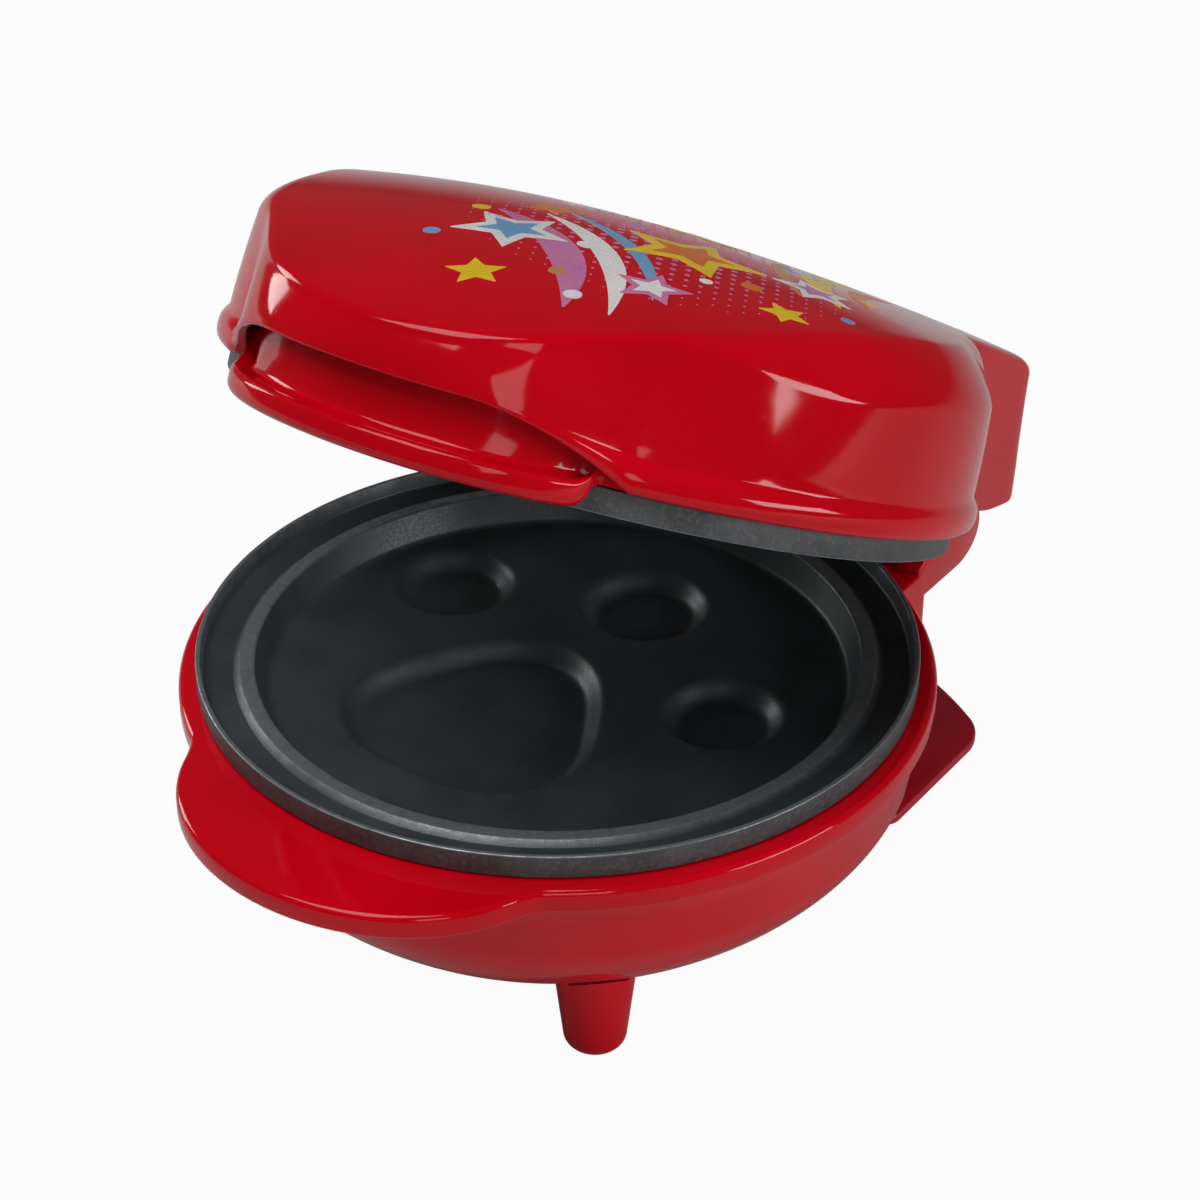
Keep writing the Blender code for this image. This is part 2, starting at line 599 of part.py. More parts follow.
def build_plate(name, rim_height, down):
    """A plate whose cavity opens away from its back. down is -1 for the lower plate and 1 for the upper."""
    on_lid = down > 0

    def level(depth):
        return rim_height + down * depth

    floor_radius = BEAD_INNER_RADIUS - CAVITY_DRAFT
    rim_inner = PLATE_RADIUS - PLATE_RIM_WIDTH
    channel_in = ELEMENT_RADIUS - ELEMENT_TUBE_RADIUS - CLEARANCE
    channel_out = ELEMENT_RADIUS + ELEMENT_TUBE_RADIUS + CLEARANCE
    profile = [
        (0.0, level(CAVITY_DEPTH)),
        (floor_radius - CAVITY_FILLET, level(CAVITY_DEPTH)),
        (floor_radius, level(CAVITY_DEPTH - CAVITY_FILLET)),
        (BEAD_INNER_RADIUS, level(BEAD_DEPTH + BEAD_ROUND)),
        (BEAD_INNER_RADIUS + BEAD_ROUND, level(BEAD_DEPTH)),
        (BEAD_OUTER_RADIUS - BEAD_ROUND, level(BEAD_DEPTH)),
        (BEAD_OUTER_RADIUS, level(BEAD_DEPTH + BEAD_ROUND)),
        (GROOVE_INNER_RADIUS, level(GROOVE_DEPTH)),
        (rim_inner - GROOVE_SLOPE, level(GROOVE_DEPTH)),
        (rim_inner, level(0.0)),
        (PLATE_RADIUS, level(0.0)),
        (PLATE_RADIUS, level(PLATE_EDGE_HEIGHT)),
        (PLATE_BODY_RADIUS, level(PLATE_EDGE_HEIGHT)),
        (PLATE_BODY_RADIUS, level(PLATE_SHELF_DEPTH)),
        (PLATE_PAN_RADIUS, level(PLATE_SHELF_DEPTH + GROOVE_SLOPE)),
        (PLATE_PAN_RADIUS - PLATE_PAN_TAPER, level(plate_depth)),
        (channel_out, level(plate_depth)),
        (channel_out, level(plate_depth - ELEMENT_CHANNEL_DEPTH)),
        (channel_in, level(plate_depth - ELEMENT_CHANNEL_DEPTH)),
        (channel_in, level(plate_depth)),
        (0.0, level(plate_depth)),
    ]
    plate = turned(name, profile, 44, non_stick, on_lid)
    for index, pad_share in enumerate(paw_pads()):
        count = 24 if index == 0 else 12
        rings = [
            pad_ring(pad_share, OVERRUN / 2.0, level(CAVITY_DEPTH - OVERRUN), count),
            pad_ring(pad_share, 0.0, level(CAVITY_DEPTH), count),
            pad_ring(pad_share, -PAD_DRAFT / 2.0, level(CAVITY_DEPTH + PAD_DEPTH * 0.7), count),
            pad_ring(pad_share, -PAD_DRAFT, level(CAVITY_DEPTH + PAD_DEPTH), count),
        ]
        cut(plate, loft(f"{name} pad {index + 1}", rings, on_lid=on_lid))
    for index, angle in enumerate(boss_angles):
        spot = polar(angle, BOSS_CIRCLE_RADIUS, 0.0)
        centre = (spot.x, spot.y)
        ends = sorted((level(plate_depth - OVERRUN / 2.0), level(boss_end)))
        weld(plate, turned(f"{name} boss {index + 1}", [(BOSS_RADIUS, ends[0]), (BOSS_RADIUS, ends[1])],
                           12, None, on_lid, centre=centre))
        bore = sorted((level(boss_end - SCREW_GRIP - CLEARANCE), level(boss_end + OVERRUN)))
        bore_radius = SCREW_RADIUS + CLEARANCE
        cut(plate, turned(f"{name} bore {index + 1}", [(bore_radius, bore[0]), (bore_radius, bore[1])],
                          10, None, on_lid, centre=centre))
    return plate


def build_element(name, rim_height, down):
    """A tubular heater bent to a ring, its two legs turned away from the plate."""
    middle = rim_height + down * (plate_depth - ELEMENT_CHANNEL_DEPTH + CLEARANCE + ELEMENT_TUBE_RADIUS)
    half = ELEMENT_OPENING / 2.0
    turns = [180.0 + half + (360.0 - ELEMENT_OPENING) * i / 22.0 for i in range(23)]
    ring = [polar(angle, ELEMENT_RADIUS, middle) for angle in turns]
    legs = []
    for angle in (turns[0] - math.degrees(ELEMENT_TUBE_RADIUS / ELEMENT_RADIUS), turns[-1]
                  + math.degrees(ELEMENT_TUBE_RADIUS / ELEMENT_RADIUS)):
        legs.append([polar(angle, ELEMENT_RADIUS, middle + down * depth)
                     for depth in (ELEMENT_TUBE_RADIUS, ELEMENT_LEG_LENGTH)])
    points = legs[0][::-1] + ring + legs[1]
    return tube(name, points, ELEMENT_TUBE_RADIUS, 1, heater_sheath, down > 0)


def build_reflector(name, rim_height, down):
    """A pressed dish behind the element, with holes for the screws, the legs and the thermostat."""
    on_lid = down > 0
    near = rim_height + down * reflector_depth
    far = near + down * REFLECTOR_SHEET
    rise = near - down * REFLECTOR_RISE
    eye = THERMOSTAT_RADIUS + OVERRUN / 2.0
    profile = [
        (eye, near),
        (REFLECTOR_RADIUS - REFLECTOR_RISE / 2.0, near),
        (REFLECTOR_RADIUS, rise),
        (REFLECTOR_RADIUS + REFLECTOR_SHEET, rise),
        (REFLECTOR_RADIUS + REFLECTOR_SHEET - REFLECTOR_RISE / 2.0, far),
        (eye, far),
    ]
    dish = turned(name, profile, 28, sheet_metal, on_lid, closed=True)
    low, high = sorted((near - down * OVERRUN / 2.0, far + down * OVERRUN / 2.0))
    holes = [(angle, BOSS_CIRCLE_RADIUS, SCREW_RADIUS + CLEARANCE) for angle in boss_angles]
    leg_turn = ELEMENT_OPENING / 2.0 - math.degrees(ELEMENT_TUBE_RADIUS / ELEMENT_RADIUS)
    holes += [(180.0 + sign * leg_turn, ELEMENT_RADIUS, ELEMENT_TUBE_RADIUS + 2.0 * CLEARANCE)
              for sign in (-1.0, 1.0)]
    for index, (angle, circle, radius) in enumerate(holes):
        spot = polar(angle, circle, 0.0)
        cut(dish, turned(f"{name} hole {index + 1}", [(radius, low), (radius, high)], 8, None, on_lid,
                         centre=(spot.x, spot.y)))
    return dish


def build_screw(name, centre, head_z, tip_z, on_lid):
    """A pan-head screw: head_z is the seat of its head, tip_z its far end."""
    away = 1.0 if head_z > tip_z else -1.0
    chamfer = SCREW_RADIUS / 3.0
    profile = [
        (0.0, head_z + away * SCREW_HEAD_HEIGHT),
        (SCREW_HEAD_RADIUS - chamfer, head_z + away * SCREW_HEAD_HEIGHT),
        (SCREW_HEAD_RADIUS, head_z + away * (SCREW_HEAD_HEIGHT - chamfer)),
        (SCREW_HEAD_RADIUS, head_z),
        (SCREW_RADIUS, head_z),
        (SCREW_RADIUS, tip_z + away * chamfer),
        (SCREW_RADIUS - chamfer, tip_z),
        (0.0, tip_z),
    ]
    return turned(name, profile, 8, bright_steel, on_lid, centre=centre)


# Base plate with its wing

def build_base_plate():
    outline = []
    start = math.degrees(math.acos(-WING_FRONT / BASE_PLATE_RADIUS)) - 2.0
    for i in range(25):
        point = polar(-start + 2.0 * start * i / 24.0, BASE_PLATE_RADIUS, 0.0)
        outline.append((point.x, point.y))
    side = []
    corner_x = WING_HALF_WIDTH - WING_CORNER
    corner_y = math.sqrt((WING_RADIUS - WING_CORNER) ** 2 - corner_x ** 2)
    turned_in = 90.0 - math.degrees(math.atan2(corner_x, corner_y))
    corners = [
        (WING_HALF_WIDTH - WING_FRONT_CORNER, WING_FRONT + WING_FRONT_CORNER, -90.0, 0.0, WING_FRONT_CORNER),
        (corner_x, corner_y, 0.0, turned_in, WING_CORNER),
    ]
    for x, y, low, high, radius in corners:
        for i in range(6):
            a = math.radians(low + (high - low) * i / 5.0)
            side.append((x + radius * math.cos(a), y + radius * math.sin(a)))
    for i in range(1, 6):
        a = math.radians(mix(turned_in, 90.0, i / 6.0))
        side.append((WING_RADIUS * math.cos(a), WING_RADIUS * math.sin(a)))
    outline += side + [(0.0, WING_RADIUS)] + [(-x, y) for x, y in reversed(side)]
    plate = prism("base_plate", outline, base_under_z, base_top_z, red_satin)

    low, high = base_under_z - OVERRUN, base_top_z + OVERRUN
    for name, (x, y) in foot_places.items():
        radius = FOOT_SPIGOT_RADIUS + CLEARANCE
        cut(plate, turned(f"{name} socket", [(radius, low), (radius, high)], 16, centre=(x, y)))
    # Posts that take the long screws up to the reflector
    post_top = rim_z - reflector_depth - REFLECTOR_SHEET - CLEARANCE
    for index, angle in enumerate(boss_angles):
        spot = polar(angle, BOSS_CIRCLE_RADIUS, 0.0)
        centre = (spot.x, spot.y)
        weld(plate, turned(f"post {index + 1}", [(POST_RADIUS, base_under_z), (POST_RADIUS, post_top)], 12,
                           centre=centre))
        radius = SCREW_RADIUS + CLEARANCE
        cut(plate, turned(f"post bore {index + 1}", [(radius, low), (radius, post_top + OVERRUN)], 10,
                          centre=centre))
        radius = SCREW_HEAD_RADIUS + CLEARANCE
        cut(plate, turned(f"post sink {index + 1}", [(radius, low), (radius, base_under_z + head_sink)], 12,
                          centre=centre))
    first = -VENT_PITCH * (VENT_COUNT - 1) / 2.0
    for i in range(VENT_COUNT):
        x = first + VENT_PITCH * i
        vent = [(x - VENT_WIDTH / 2.0, -VENT_LENGTH / 2.0), (x + VENT_WIDTH / 2.0, -VENT_LENGTH / 2.0),
                (x + VENT_WIDTH / 2.0, VENT_LENGTH / 2.0), (x - VENT_WIDTH / 2.0, VENT_LENGTH / 2.0)]
        cut(plate, prism(f"vent {i + 1}", vent, low, high))
    return plate


foot_places = {
    "foot_front_left": (-FOOT_SIDE, -FOOT_FRONT),
    "foot_front_right": (FOOT_SIDE, -FOOT_FRONT),
    "foot_back_left": (-FOOT_SIDE, FOOT_FRONT),
    "foot_back_right": (FOOT_SIDE, FOOT_FRONT),
}


def build_foot(name, place):
    """A tapered foot that plugs into the base plate. In front it also reaches up round the bowl."""
    in_front = place[1] < 0.0
    top = FOOT_HEIGHT + FOOT_COLLAR if in_front else base_under_z - CLEARANCE
    profile = [(0.0, 0.0), (FOOT_TIP_RADIUS - FOOT_ROUND, 0.0)]
    for a in (30.0, 60.0, 90.0):
        turn = math.radians(a)
        profile.append((FOOT_TIP_RADIUS - FOOT_ROUND + FOOT_ROUND * math.sin(turn),
                        FOOT_ROUND - FOOT_ROUND * math.cos(turn)))
    profile += [(FOOT_TOP_RADIUS, top), (0.0, top)]
    foot = turned(name, profile, 20, red_gloss, centre=place)
    if in_front:
        bowl = [(BOWL_BOTTOM_RADIUS + CLEARANCE, FOOT_HEIGHT - CLEARANCE)]
        for share in (0.0, 0.25, 0.5):
            height = BOWL_TURN_HEIGHT * share
            bowl.append((bowl_radius(height) + 2.0 * CLEARANCE, FOOT_HEIGHT + height))
        under = [(BASE_PLATE_RADIUS + 2.0 * CLEARANCE, base_under_z - CLEARANCE),
                 (BASE_PLATE_RADIUS + 2.0 * CLEARANCE, FOOT_HEIGHT)]
        cut(foot, turned(f"{name} bowl form", bowl, 48), turned(f"{name} plate form", under, 48))
    spigot = [(FOOT_SPIGOT_RADIUS, base_under_z - OVERRUN), (FOOT_SPIGOT_RADIUS, base_top_z)]
    weld(foot, turned(f"{name} spigot", spigot, 16, centre=place))
    return foot


# Lid housing

lid_stations = mirrored_stations([(0.0, 20.0, 4), (20.0, 44.0, 9), (44.0, 132.0, 9), (132.0, cover_corner, 2),
                                  (cover_corner, 148.0, 2), (148.0, 156.0, 6), (156.0, 180.0, 3)])


def housing_ring(round_radius, round_height, lobe_height=None, inset=None, lobe_radius=None):
    """A ring on the round body and the handle lobe: there a radius, or its outline less an inset."""
    points = []
    for angle in lid_stations:
        share = lobe_share(angle)
        on_lobe = lobe_radius or round_radius
        if inset is not None:
            on_lobe = max(handle_outline(angle, lid_lobe, COVER_RADIUS, NOTCH_FILLET) - inset, on_lobe)
        height = mix(round_height, round_height if lobe_height is None else lobe_height, share * share)
        points.append(polar(angle, mix(round_radius, on_lobe, share), height))
    return points


def wall_inside(angle):
    """Inner face of the rim, or of the recess wall on the handle lobe."""
    outline = handle_outline(angle, lid_lobe, COVER_RADIUS, NOTCH_FILLET)
    return max(outline - FINGER_RECESS - LOBE_WALL, HOUSING_RADIUS - HOUSING_WALL)


def tray_ring(step, height):
    """A ring inside the wall. The tray between plate and wall sinks to height where it has room."""
    points = []
    for angle in lid_stations:
        inside = wall_inside(angle)
        edge = PLATE_RADIUS + PLATE_OPENING_GAP + LOBE_WALL
        radius = min(edge + step * CLEARANCE, inside - (2.0 - step) * CLEARANCE)
        if step == 2.0:
            radius = inside
        share = ease((inside - edge) / TRAY_SLOPE)
        points.append(polar(angle, radius, mix(deck_z + step * CLEARANCE, height, share)))
    return points


def build_lid_housing():
    wall_top = ledge_z + RECESS_WALL_HEIGHT
    rim_top = lip_z + HOUSING_RIM_HEIGHT
    rim_in = HOUSING_RADIUS - HOUSING_WALL
    plate_side = PLATE_RADIUS + PLATE_OPENING_GAP
    behind_wall = FINGER_RECESS + LOBE_WALL
    side = [mix(rim_top, lip_z, share) for share in (0.2, 0.35, 0.5, 0.7, 0.85)]
    rings = [
        [Vector((0.0, 0.0, dish_top_z))],
        housing_ring(INNER_DISH_RADIUS, dish_top_z),
        housing_ring(INNER_DISH_FOOT, deck_z),
        tray_ring(0.0, deck_z),
        tray_ring(1.0, tray_z),
        tray_ring(2.0, tray_z),
        housing_ring(rim_in, rim_top, wall_top, behind_wall),
        housing_ring(HOUSING_RADIUS, rim_top, wall_top, FINGER_RECESS),
        housing_ring(HOUSING_RADIUS, side[0], ledge_z, FINGER_RECESS),
        housing_ring(HOUSING_RADIUS, side[1], ledge_z, LOBE_ROUND / 2.0),
        housing_ring(HOUSING_RADIUS, side[2], ledge_z - LOBE_ROUND / 2.0, 0.0),
        housing_ring(HOUSING_RADIUS, side[3], lobe_z + LOBE_ROUND, 0.0),
        housing_ring(HOUSING_RADIUS, side[4], lobe_z + LOBE_ROUND / 3.0, LOBE_ROUND / 3.0),
        housing_ring(HOUSING_RADIUS, lip_z, lobe_z, LOBE_ROUND),
        housing_ring(HOUSING_RADIUS - CLEARANCE / 3.0, lip_z, lobe_z, lobe_radius=plate_side),
        housing_ring(HOUSING_RADIUS - CLEARANCE / 1.5, lip_z, lip_z, lobe_radius=plate_side - CLEARANCE),
        housing_ring(PLATE_BODY_RADIUS + PLATE_OPENING_GAP, lip_z),
        housing_ring(PLATE_BODY_RADIUS + PLATE_OPENING_GAP, deck_z - HOUSING_WALL),
        housing_ring(INNER_DISH_FOOT - HOUSING_WALL, deck_z - HOUSING_WALL),
        housing_ring(INNER_DISH_RADIUS - HOUSING_WALL, dish_top_z - HOUSING_WALL),
        [Vector((0.0, 0.0, dish_top_z - HOUSING_WALL))],
    ]
    housing = loft("lid_housing", rings, red_gloss, True)

    # Knuckle arms, with a heel under each that meets the pedestal when the lid is fully open
    arc_angles = [math.radians(200.0 + 235.0 * i / 13.0) for i in range(14)]
    arm = []
    for a in arc_angles:
        heel = 1.0 if abs(math.degrees(a) - 272.0) < 12.0 else 0.0
        reach = mix(KNUCKLE_RADIUS, HEEL_REACH, heel)
        arm.append((HINGE_BACK + reach * math.cos(a), hinge_z + reach * math.sin(a)))
    arm += [
        (ARM_FRONT + 3.0 * ARM_ELBOW, lip_z + ARM_TOP),
        (ARM_FRONT, lip_z + ARM_TOP),
        (ARM_FRONT, lip_z + CLEARANCE),
        (ARM_FRONT + ARM_ELBOW, lip_z + CLEARANCE),
    ]
    for side, sign in (("left", -1.0), ("right", 1.0)):
        inner = sign * (knuckle_outer - KNUCKLE_WIDTH)
        weld(housing, prism(f"knuckle arm {side}", arm, inner, sign * knuckle_outer, None, True, across=True))
        ends = [(sign * x, HINGE_BACK, hinge_z)
                for x in (knuckle_outer - KNUCKLE_WIDTH - OVERRUN, knuckle_outer + OVERRUN)]
        cut(housing, rod(f"knuckle bore {side}", *ends, PIN_RADIUS + PIN_BORE_GAP, 16, None, True))
    for index, angle in enumerate(boss_angles):
        spot = polar(angle, BOSS_CIRCLE_RADIUS, 0.0)
        radius = SCREW_RADIUS + CLEARANCE
        ends = [(radius, dish_top_z - HOUSING_WALL - OVERRUN), (radius, dish_top_z + OVERRUN)]
        cut(housing, turned(f"dish hole {index + 1}", ends, 10, None, True, centre=(spot.x, spot.y)))
    for index, sign in enumerate((-1.0, 1.0)):
        centre = (sign * COVER_SCREW_SIDE, -COVER_SCREW_FRONT)
        radius = SCREW_RADIUS + CLEARANCE
        ends = [(radius, lobe_z - OVERRUN), (radius, tray_z + OVERRUN)]
        cut(housing, turned(f"handle screw hole {index + 1}", ends, 10, None, True, centre=centre))
        radius = SCREW_HEAD_RADIUS + CLEARANCE
        ends = [(radius, lobe_z - OVERRUN), (radius, lobe_z + head_sink)]
        cut(housing, turned(f"handle screw sink {index + 1}", ends, 12, None, True, centre=centre))
    return housing


# Lid cover

def block_reach(angle, back, inset):
    """Distance from the plate axis to the square block over the hinge."""
    turn = math.radians(angle)
    ahead = -math.cos(turn)
    if ahead <= 0.0:
        return 0.0
    side = (BLOCK_HALF_WIDTH - inset) / max(abs(math.sin(turn)), math.sin(math.radians(1.0)))
    rear = (back - inset) / ahead
    return -soft_max(-side, -rear, BLOCK_CORNER)


def cover_outline(angle, back, inset=0.0):
    body = handle_outline(angle, lid_lobe, COVER_RADIUS, COVER_NOTCH_FILLET, inset)
    if off_front(angle) < 90.0:
        return body
    return soft_max(block_reach(angle, back, inset), body, CLEARANCE)


def cover_top(x, y):
    """Height of the cover's crown: it falls away to the tip, to the back and to the sides."""
    if y < 0.0:
        share = -y / (HANDLE_CENTRE + LID_HANDLE_HALF_LENGTH)
        height = mix(COVER_PEAK_HEIGHT, COVER_TIP_HEIGHT, share ** 2.1)
    else:
        share = y / (BLOCK_BACK - BLOCK_LEAN)
        height = mix(COVER_PEAK_HEIGHT, COVER_BACK_HEIGHT, share ** 1.3)
    return rim_z + height - COVER_SIDE_FALL * (x / COVER_RADIUS) ** 2


def lifted_share(angle):
    """How far the skirt has risen: 0 on the round body, 1 over the handle."""
    share = min(max((SKIRT_REACH - off_front(angle)) / SKIRT_SPREAD, 0.0), 1.0)
    return 1.0 - (1.0 - share) ** 1.6


def dropped_share(angle):
    """1 on the block over the hinge, 0 elsewhere."""
    return ease((off_front(angle) - cover_corner) / 2.0)


def lip_share(angle):
    """How far the lip stands out: not over the handle, and not on the block."""
    return (1.0 - lifted_share(angle)) ** 1.5 * (1.0 - dropped_share(angle))


def skirt_height(angle):
    heel_rise = BLOCK_HEEL_RISE * ease((off_front(angle) - block_corner + 4.0) / 6.0)
    return lip_z + SKIRT_LIFT * lifted_share(angle) - BLOCK_DROP * dropped_share(angle) + heel_rise


def lip_ring(height_share, flare_share):
    """A ring on the rounded lip, which shrinks to a plain edge over the handle and on the block."""
    points = []
    for angle in lid_stations:
        lip = lip_share(angle)
        radius = cover_outline(angle, BLOCK_BACK) + (LIP_RADIUS - COVER_RADIUS) * flare_share * lip
        rise = mix(SKIRT_EDGE, LIP_HEIGHT, lip) * height_share
        points.append(polar(angle, radius, skirt_height(angle) + rise))
    return points


def cover_ring(height_share, shoulder_share, inset):
    """A ring on the side wall, or on the shoulder where the wall turns over into the crown."""
    points = []
    for angle in lid_stations:
        rough = polar(angle, cover_outline(angle, BLOCK_BACK - BLOCK_LEAN, inset), 0.0)
        edge = cover_top(rough.x, rough.y) - inset
        low = skirt_height(angle)
        if inset == 0.0:
            low += mix(SKIRT_EDGE, LIP_HEIGHT, lip_share(angle))
        rise = COVER_SHOULDER * math.sin(shoulder_share * math.pi / 2.0)
        height = mix(low, edge - COVER_SHOULDER, height_share) + rise
        lean = BLOCK_LEAN * max(height - lip_z, 0.0) / (edge - lip_z)
        drawn_in = COVER_SHOULDER * (1.0 - math.cos(shoulder_share * math.pi / 2.0))
        drawn_in += COVER_DRAFT * height_share ** 2
        points.append(polar(angle, cover_outline(angle, BLOCK_BACK - lean, inset + drawn_in), height))
    return points


def crown_ring(share, inset):
    points = []
    for angle in lid_stations:
        radius = cover_outline(angle, BLOCK_BACK - BLOCK_LEAN, inset + COVER_SHOULDER + COVER_DRAFT) * share
        spot = polar(angle, radius, 0.0)
        points.append(Vector((spot.x, spot.y, cover_top(spot.x, spot.y) - inset)))
    return points


def build_lid_cover():
    rings = []
    for inset in (0.0, COVER_WALL):
        side = [cover_ring(0.0, 0.0, inset), cover_ring(0.5, 0.0, inset), cover_ring(1.0, 0.0, inset),
                cover_ring(1.0, 0.35, inset), cover_ring(1.0, 0.7, inset)]
        crown = [crown_ring(share, inset) for share in (1.0, 0.88, 0.7, 0.4)]
        crown.append([Vector((0.0, 0.0, cover_top(0.0, 0.0) - inset))])
        skin = side + crown
        if inset == 0.0:
            lip_shares = [(0.0, 0.3), (0.18, 0.9), (0.45, 1.0), (0.7, 0.65)]
            skin = [lip_ring(*share) for share in lip_shares] + skin
        rings += skin[::-1] if inset == 0.0 else skin
    cover = loft("lid_cover", rings, red_gloss, True)

    # Bosses for the screws that come up through the handle
    for index, sign in enumerate((-1.0, 1.0)):
        centre = (sign * COVER_SCREW_SIDE, -COVER_SCREW_FRONT)
        top = cover_top(centre[0], centre[1] - COVER_BOSS_RADIUS) - COVER_WALL
        foot = tray_z + CLEARANCE
        weld(cover, turned(f"cover boss {index + 1}", [(COVER_BOSS_RADIUS, foot), (COVER_BOSS_RADIUS, top)], 12,
                           None, True, centre=centre))
        radius = SCREW_RADIUS + CLEARANCE
        ends = [(radius, foot - OVERRUN), (radius, foot + SCREW_GRIP + CLEARANCE)]
        cut(cover, turned(f"cover boss bore {index + 1}", ends, 10, None, True, centre=centre))
    return cover


def build_small_pieces():
    """Pins, gland, screws, thermostat, fuse, terminals and leads."""
    for side, sign in (("left", -1.0), ("right", 1.0)):
        inner = sign * (knuckle_outer - KNUCKLE_WIDTH - CLEARANCE)
        outer = sign * (EAR_OUTER - PIN_SEAT_FLOOR - CLEARANCE)
        rod(f"hinge_pin_{side}", (inner, HINGE_BACK, hinge_z), (outer, HINGE_BACK, hinge_z), PIN_RADIUS, 16,
            bright_steel)

    gland_z = FOOT_HEIGHT + GLAND_HEIGHT
    face = pedestal_back + CLEARANCE
    inner_end = pedestal_back - CASING_WALL
    outer_end = face + GLAND_FLANGE_THICKNESS
    steps = [(GLAND_BORE_RADIUS, outer_end), (GLAND_FLANGE_RADIUS, outer_end), (GLAND_FLANGE_RADIUS, face),
             (GLAND_RADIUS, face), (GLAND_RADIUS, inner_end), (GLAND_BORE_RADIUS, inner_end)]
    rings = [[Vector((radius * math.cos(t), y, gland_z + radius * math.sin(t)))
              for t in (math.tau * i / 20.0 for i in range(20))] for radius, y in steps]
    loft("cord_gland", rings, black_rubber, closed=True)

    for index, angle in enumerate(boss_angles):
        spot = polar(angle, BOSS_CIRCLE_RADIUS, 0.0)
        centre = (spot.x, spot.y)
        build_screw(f"base_screw_{index + 1}", centre, base_under_z + head_sink - CLEARANCE,
                    rim_z - boss_end + SCREW_GRIP, False)
        build_screw(f"upper_plate_screw_{index + 1}", centre, dish_top_z + CLEARANCE,
                    upper_rim_z + boss_end - SCREW_GRIP, True)
    for index, sign in enumerate((-1.0, 1.0)):
        build_screw(f"cover_screw_{index + 1}", (sign * COVER_SCREW_SIDE, -COVER_SCREW_FRONT),
                    lobe_z + head_sink - CLEARANCE, tray_z + CLEARANCE + SCREW_GRIP, True)

    plate_under = rim_z - plate_depth - CLEARANCE
    cap = THERMOSTAT_RADIUS * 0.75
    turned("thermostat", [(0.0, plate_under), (THERMOSTAT_RADIUS, plate_under),
                          (THERMOSTAT_RADIUS, plate_under - THERMOSTAT_HEIGHT / 2.0),
                          (cap, plate_under - THERMOSTAT_HEIGHT / 2.0),
                          (cap, plate_under - THERMOSTAT_HEIGHT), (0.0, plate_under - THERMOSTAT_HEIGHT)], 20,
           white_ceramic)
    fuse_z = plate_under - FUSE_RADIUS
    rod("thermal_fuse", (-FUSE_LENGTH / 2.0, -FUSE_OFFSET, fuse_z), (FUSE_LENGTH / 2.0, -FUSE_OFFSET, fuse_z),
        FUSE_RADIUS, 12, glass_sleeve)

    low = base_top_z + CLEARANCE
    chamfer = BLOCK_DEPTH / 6.0
    half = BLOCK_DEPTH / 2.0
    section = [(TERMINAL_BACK - half, low), (TERMINAL_BACK + half, low),
               (TERMINAL_BACK + half, low + TERMINAL_HEIGHT - chamfer),
               (TERMINAL_BACK + half - chamfer, low + TERMINAL_HEIGHT),
               (TERMINAL_BACK - half + chamfer, low + TERMINAL_HEIGHT),
               (TERMINAL_BACK - half, low + TERMINAL_HEIGHT - chamfer)]
    prism("terminal_block", section, -BLOCK_LENGTH / 2.0, BLOCK_LENGTH / 2.0, white_ceramic, across=True)
    build_leads(low + TERMINAL_HEIGHT)


def build_leads(terminal_top):
    """Leads from the cord gland to the terminals, from there to the element, and across the hinge."""
    leg_turn = ELEMENT_OPENING / 2.0 - math.degrees(ELEMENT_TUBE_RADIUS / ELEMENT_RADIUS)
    middle = rim_z - plate_depth + ELEMENT_CHANNEL_DEPTH - CLEARANCE - ELEMENT_TUBE_RADIUS
    leg_end = middle - ELEMENT_LEG_LENGTH - CLEARANCE
    gland_z = FOOT_HEIGHT + GLAND_HEIGHT
    half = BLOCK_DEPTH / 2.0
    for side, sign in (("left", -1.0), ("right", 1.0)):
        leg = polar(180.0 - sign * leg_turn, ELEMENT_RADIUS, leg_end)
        foot = Vector((sign * LEAD_PITCH, TERMINAL_BACK, terminal_top + CLEARANCE))
        bend = (leg_end - foot.z) / 3.0
        tube(f"element_lead_{side}", [leg, leg - Vector((0.0, 0.0, bend)), foot + Vector((0.0, 0.0, bend)), foot],
             LEAD_RADIUS, 1, glass_sleeve)
        inlet = Vector((sign * (LEAD_RADIUS + CLEARANCE), pedestal_back - CASING_WALL, gland_z))
        clamp = Vector((sign * LEAD_PITCH / 2.0, TERMINAL_BACK + half + CLEARANCE, terminal_top - half))
        tube(f"supply_lead_{side}", [inlet, inlet - Vector((0.0, GLAND_RADIUS, 0.0)),
                                     clamp + Vector((0.0, GLAND_RADIUS, 0.0)), clamp],
             LEAD_RADIUS, 1, black_rubber)

    # The hinge lead's two halves meet on the hinge axis, where one turns in line with the other
    knee = Vector((-HINGE_LEAD_SIDE, HINGE_BACK, hinge_z))
    start = Vector((-HINGE_LEAD_SIDE, pedestal_back - CASING_WALL, hinge_z - HINGE_DROP))
    end = Vector((-CLEARANCE / 2.0, HINGE_BACK, hinge_z))
    tube("base_hinge_lead", [start, start + Vector((0.0, HINGE_DROP, 0.0)), knee, end],
         HINGE_LEAD_RADIUS, 1, black_rubber)
    knee = Vector((HINGE_LEAD_SIDE, HINGE_BACK, hinge_z))
    start = Vector((CLEARANCE / 2.0, HINGE_BACK, hinge_z))
    rise = Vector((HINGE_LEAD_SIDE, HINGE_BACK - OVERRUN, lip_z))
    end = Vector((HINGE_LEAD_SIDE, HOUSING_RADIUS + HINGE_LEAD_RADIUS + CLEARANCE,
                  lip_z + HOUSING_RIM_HEIGHT + OVERRUN))
    tube("lid_hinge_lead", [start, knee, rise, end], HINGE_LEAD_RADIUS, 1, black_rubber, True)


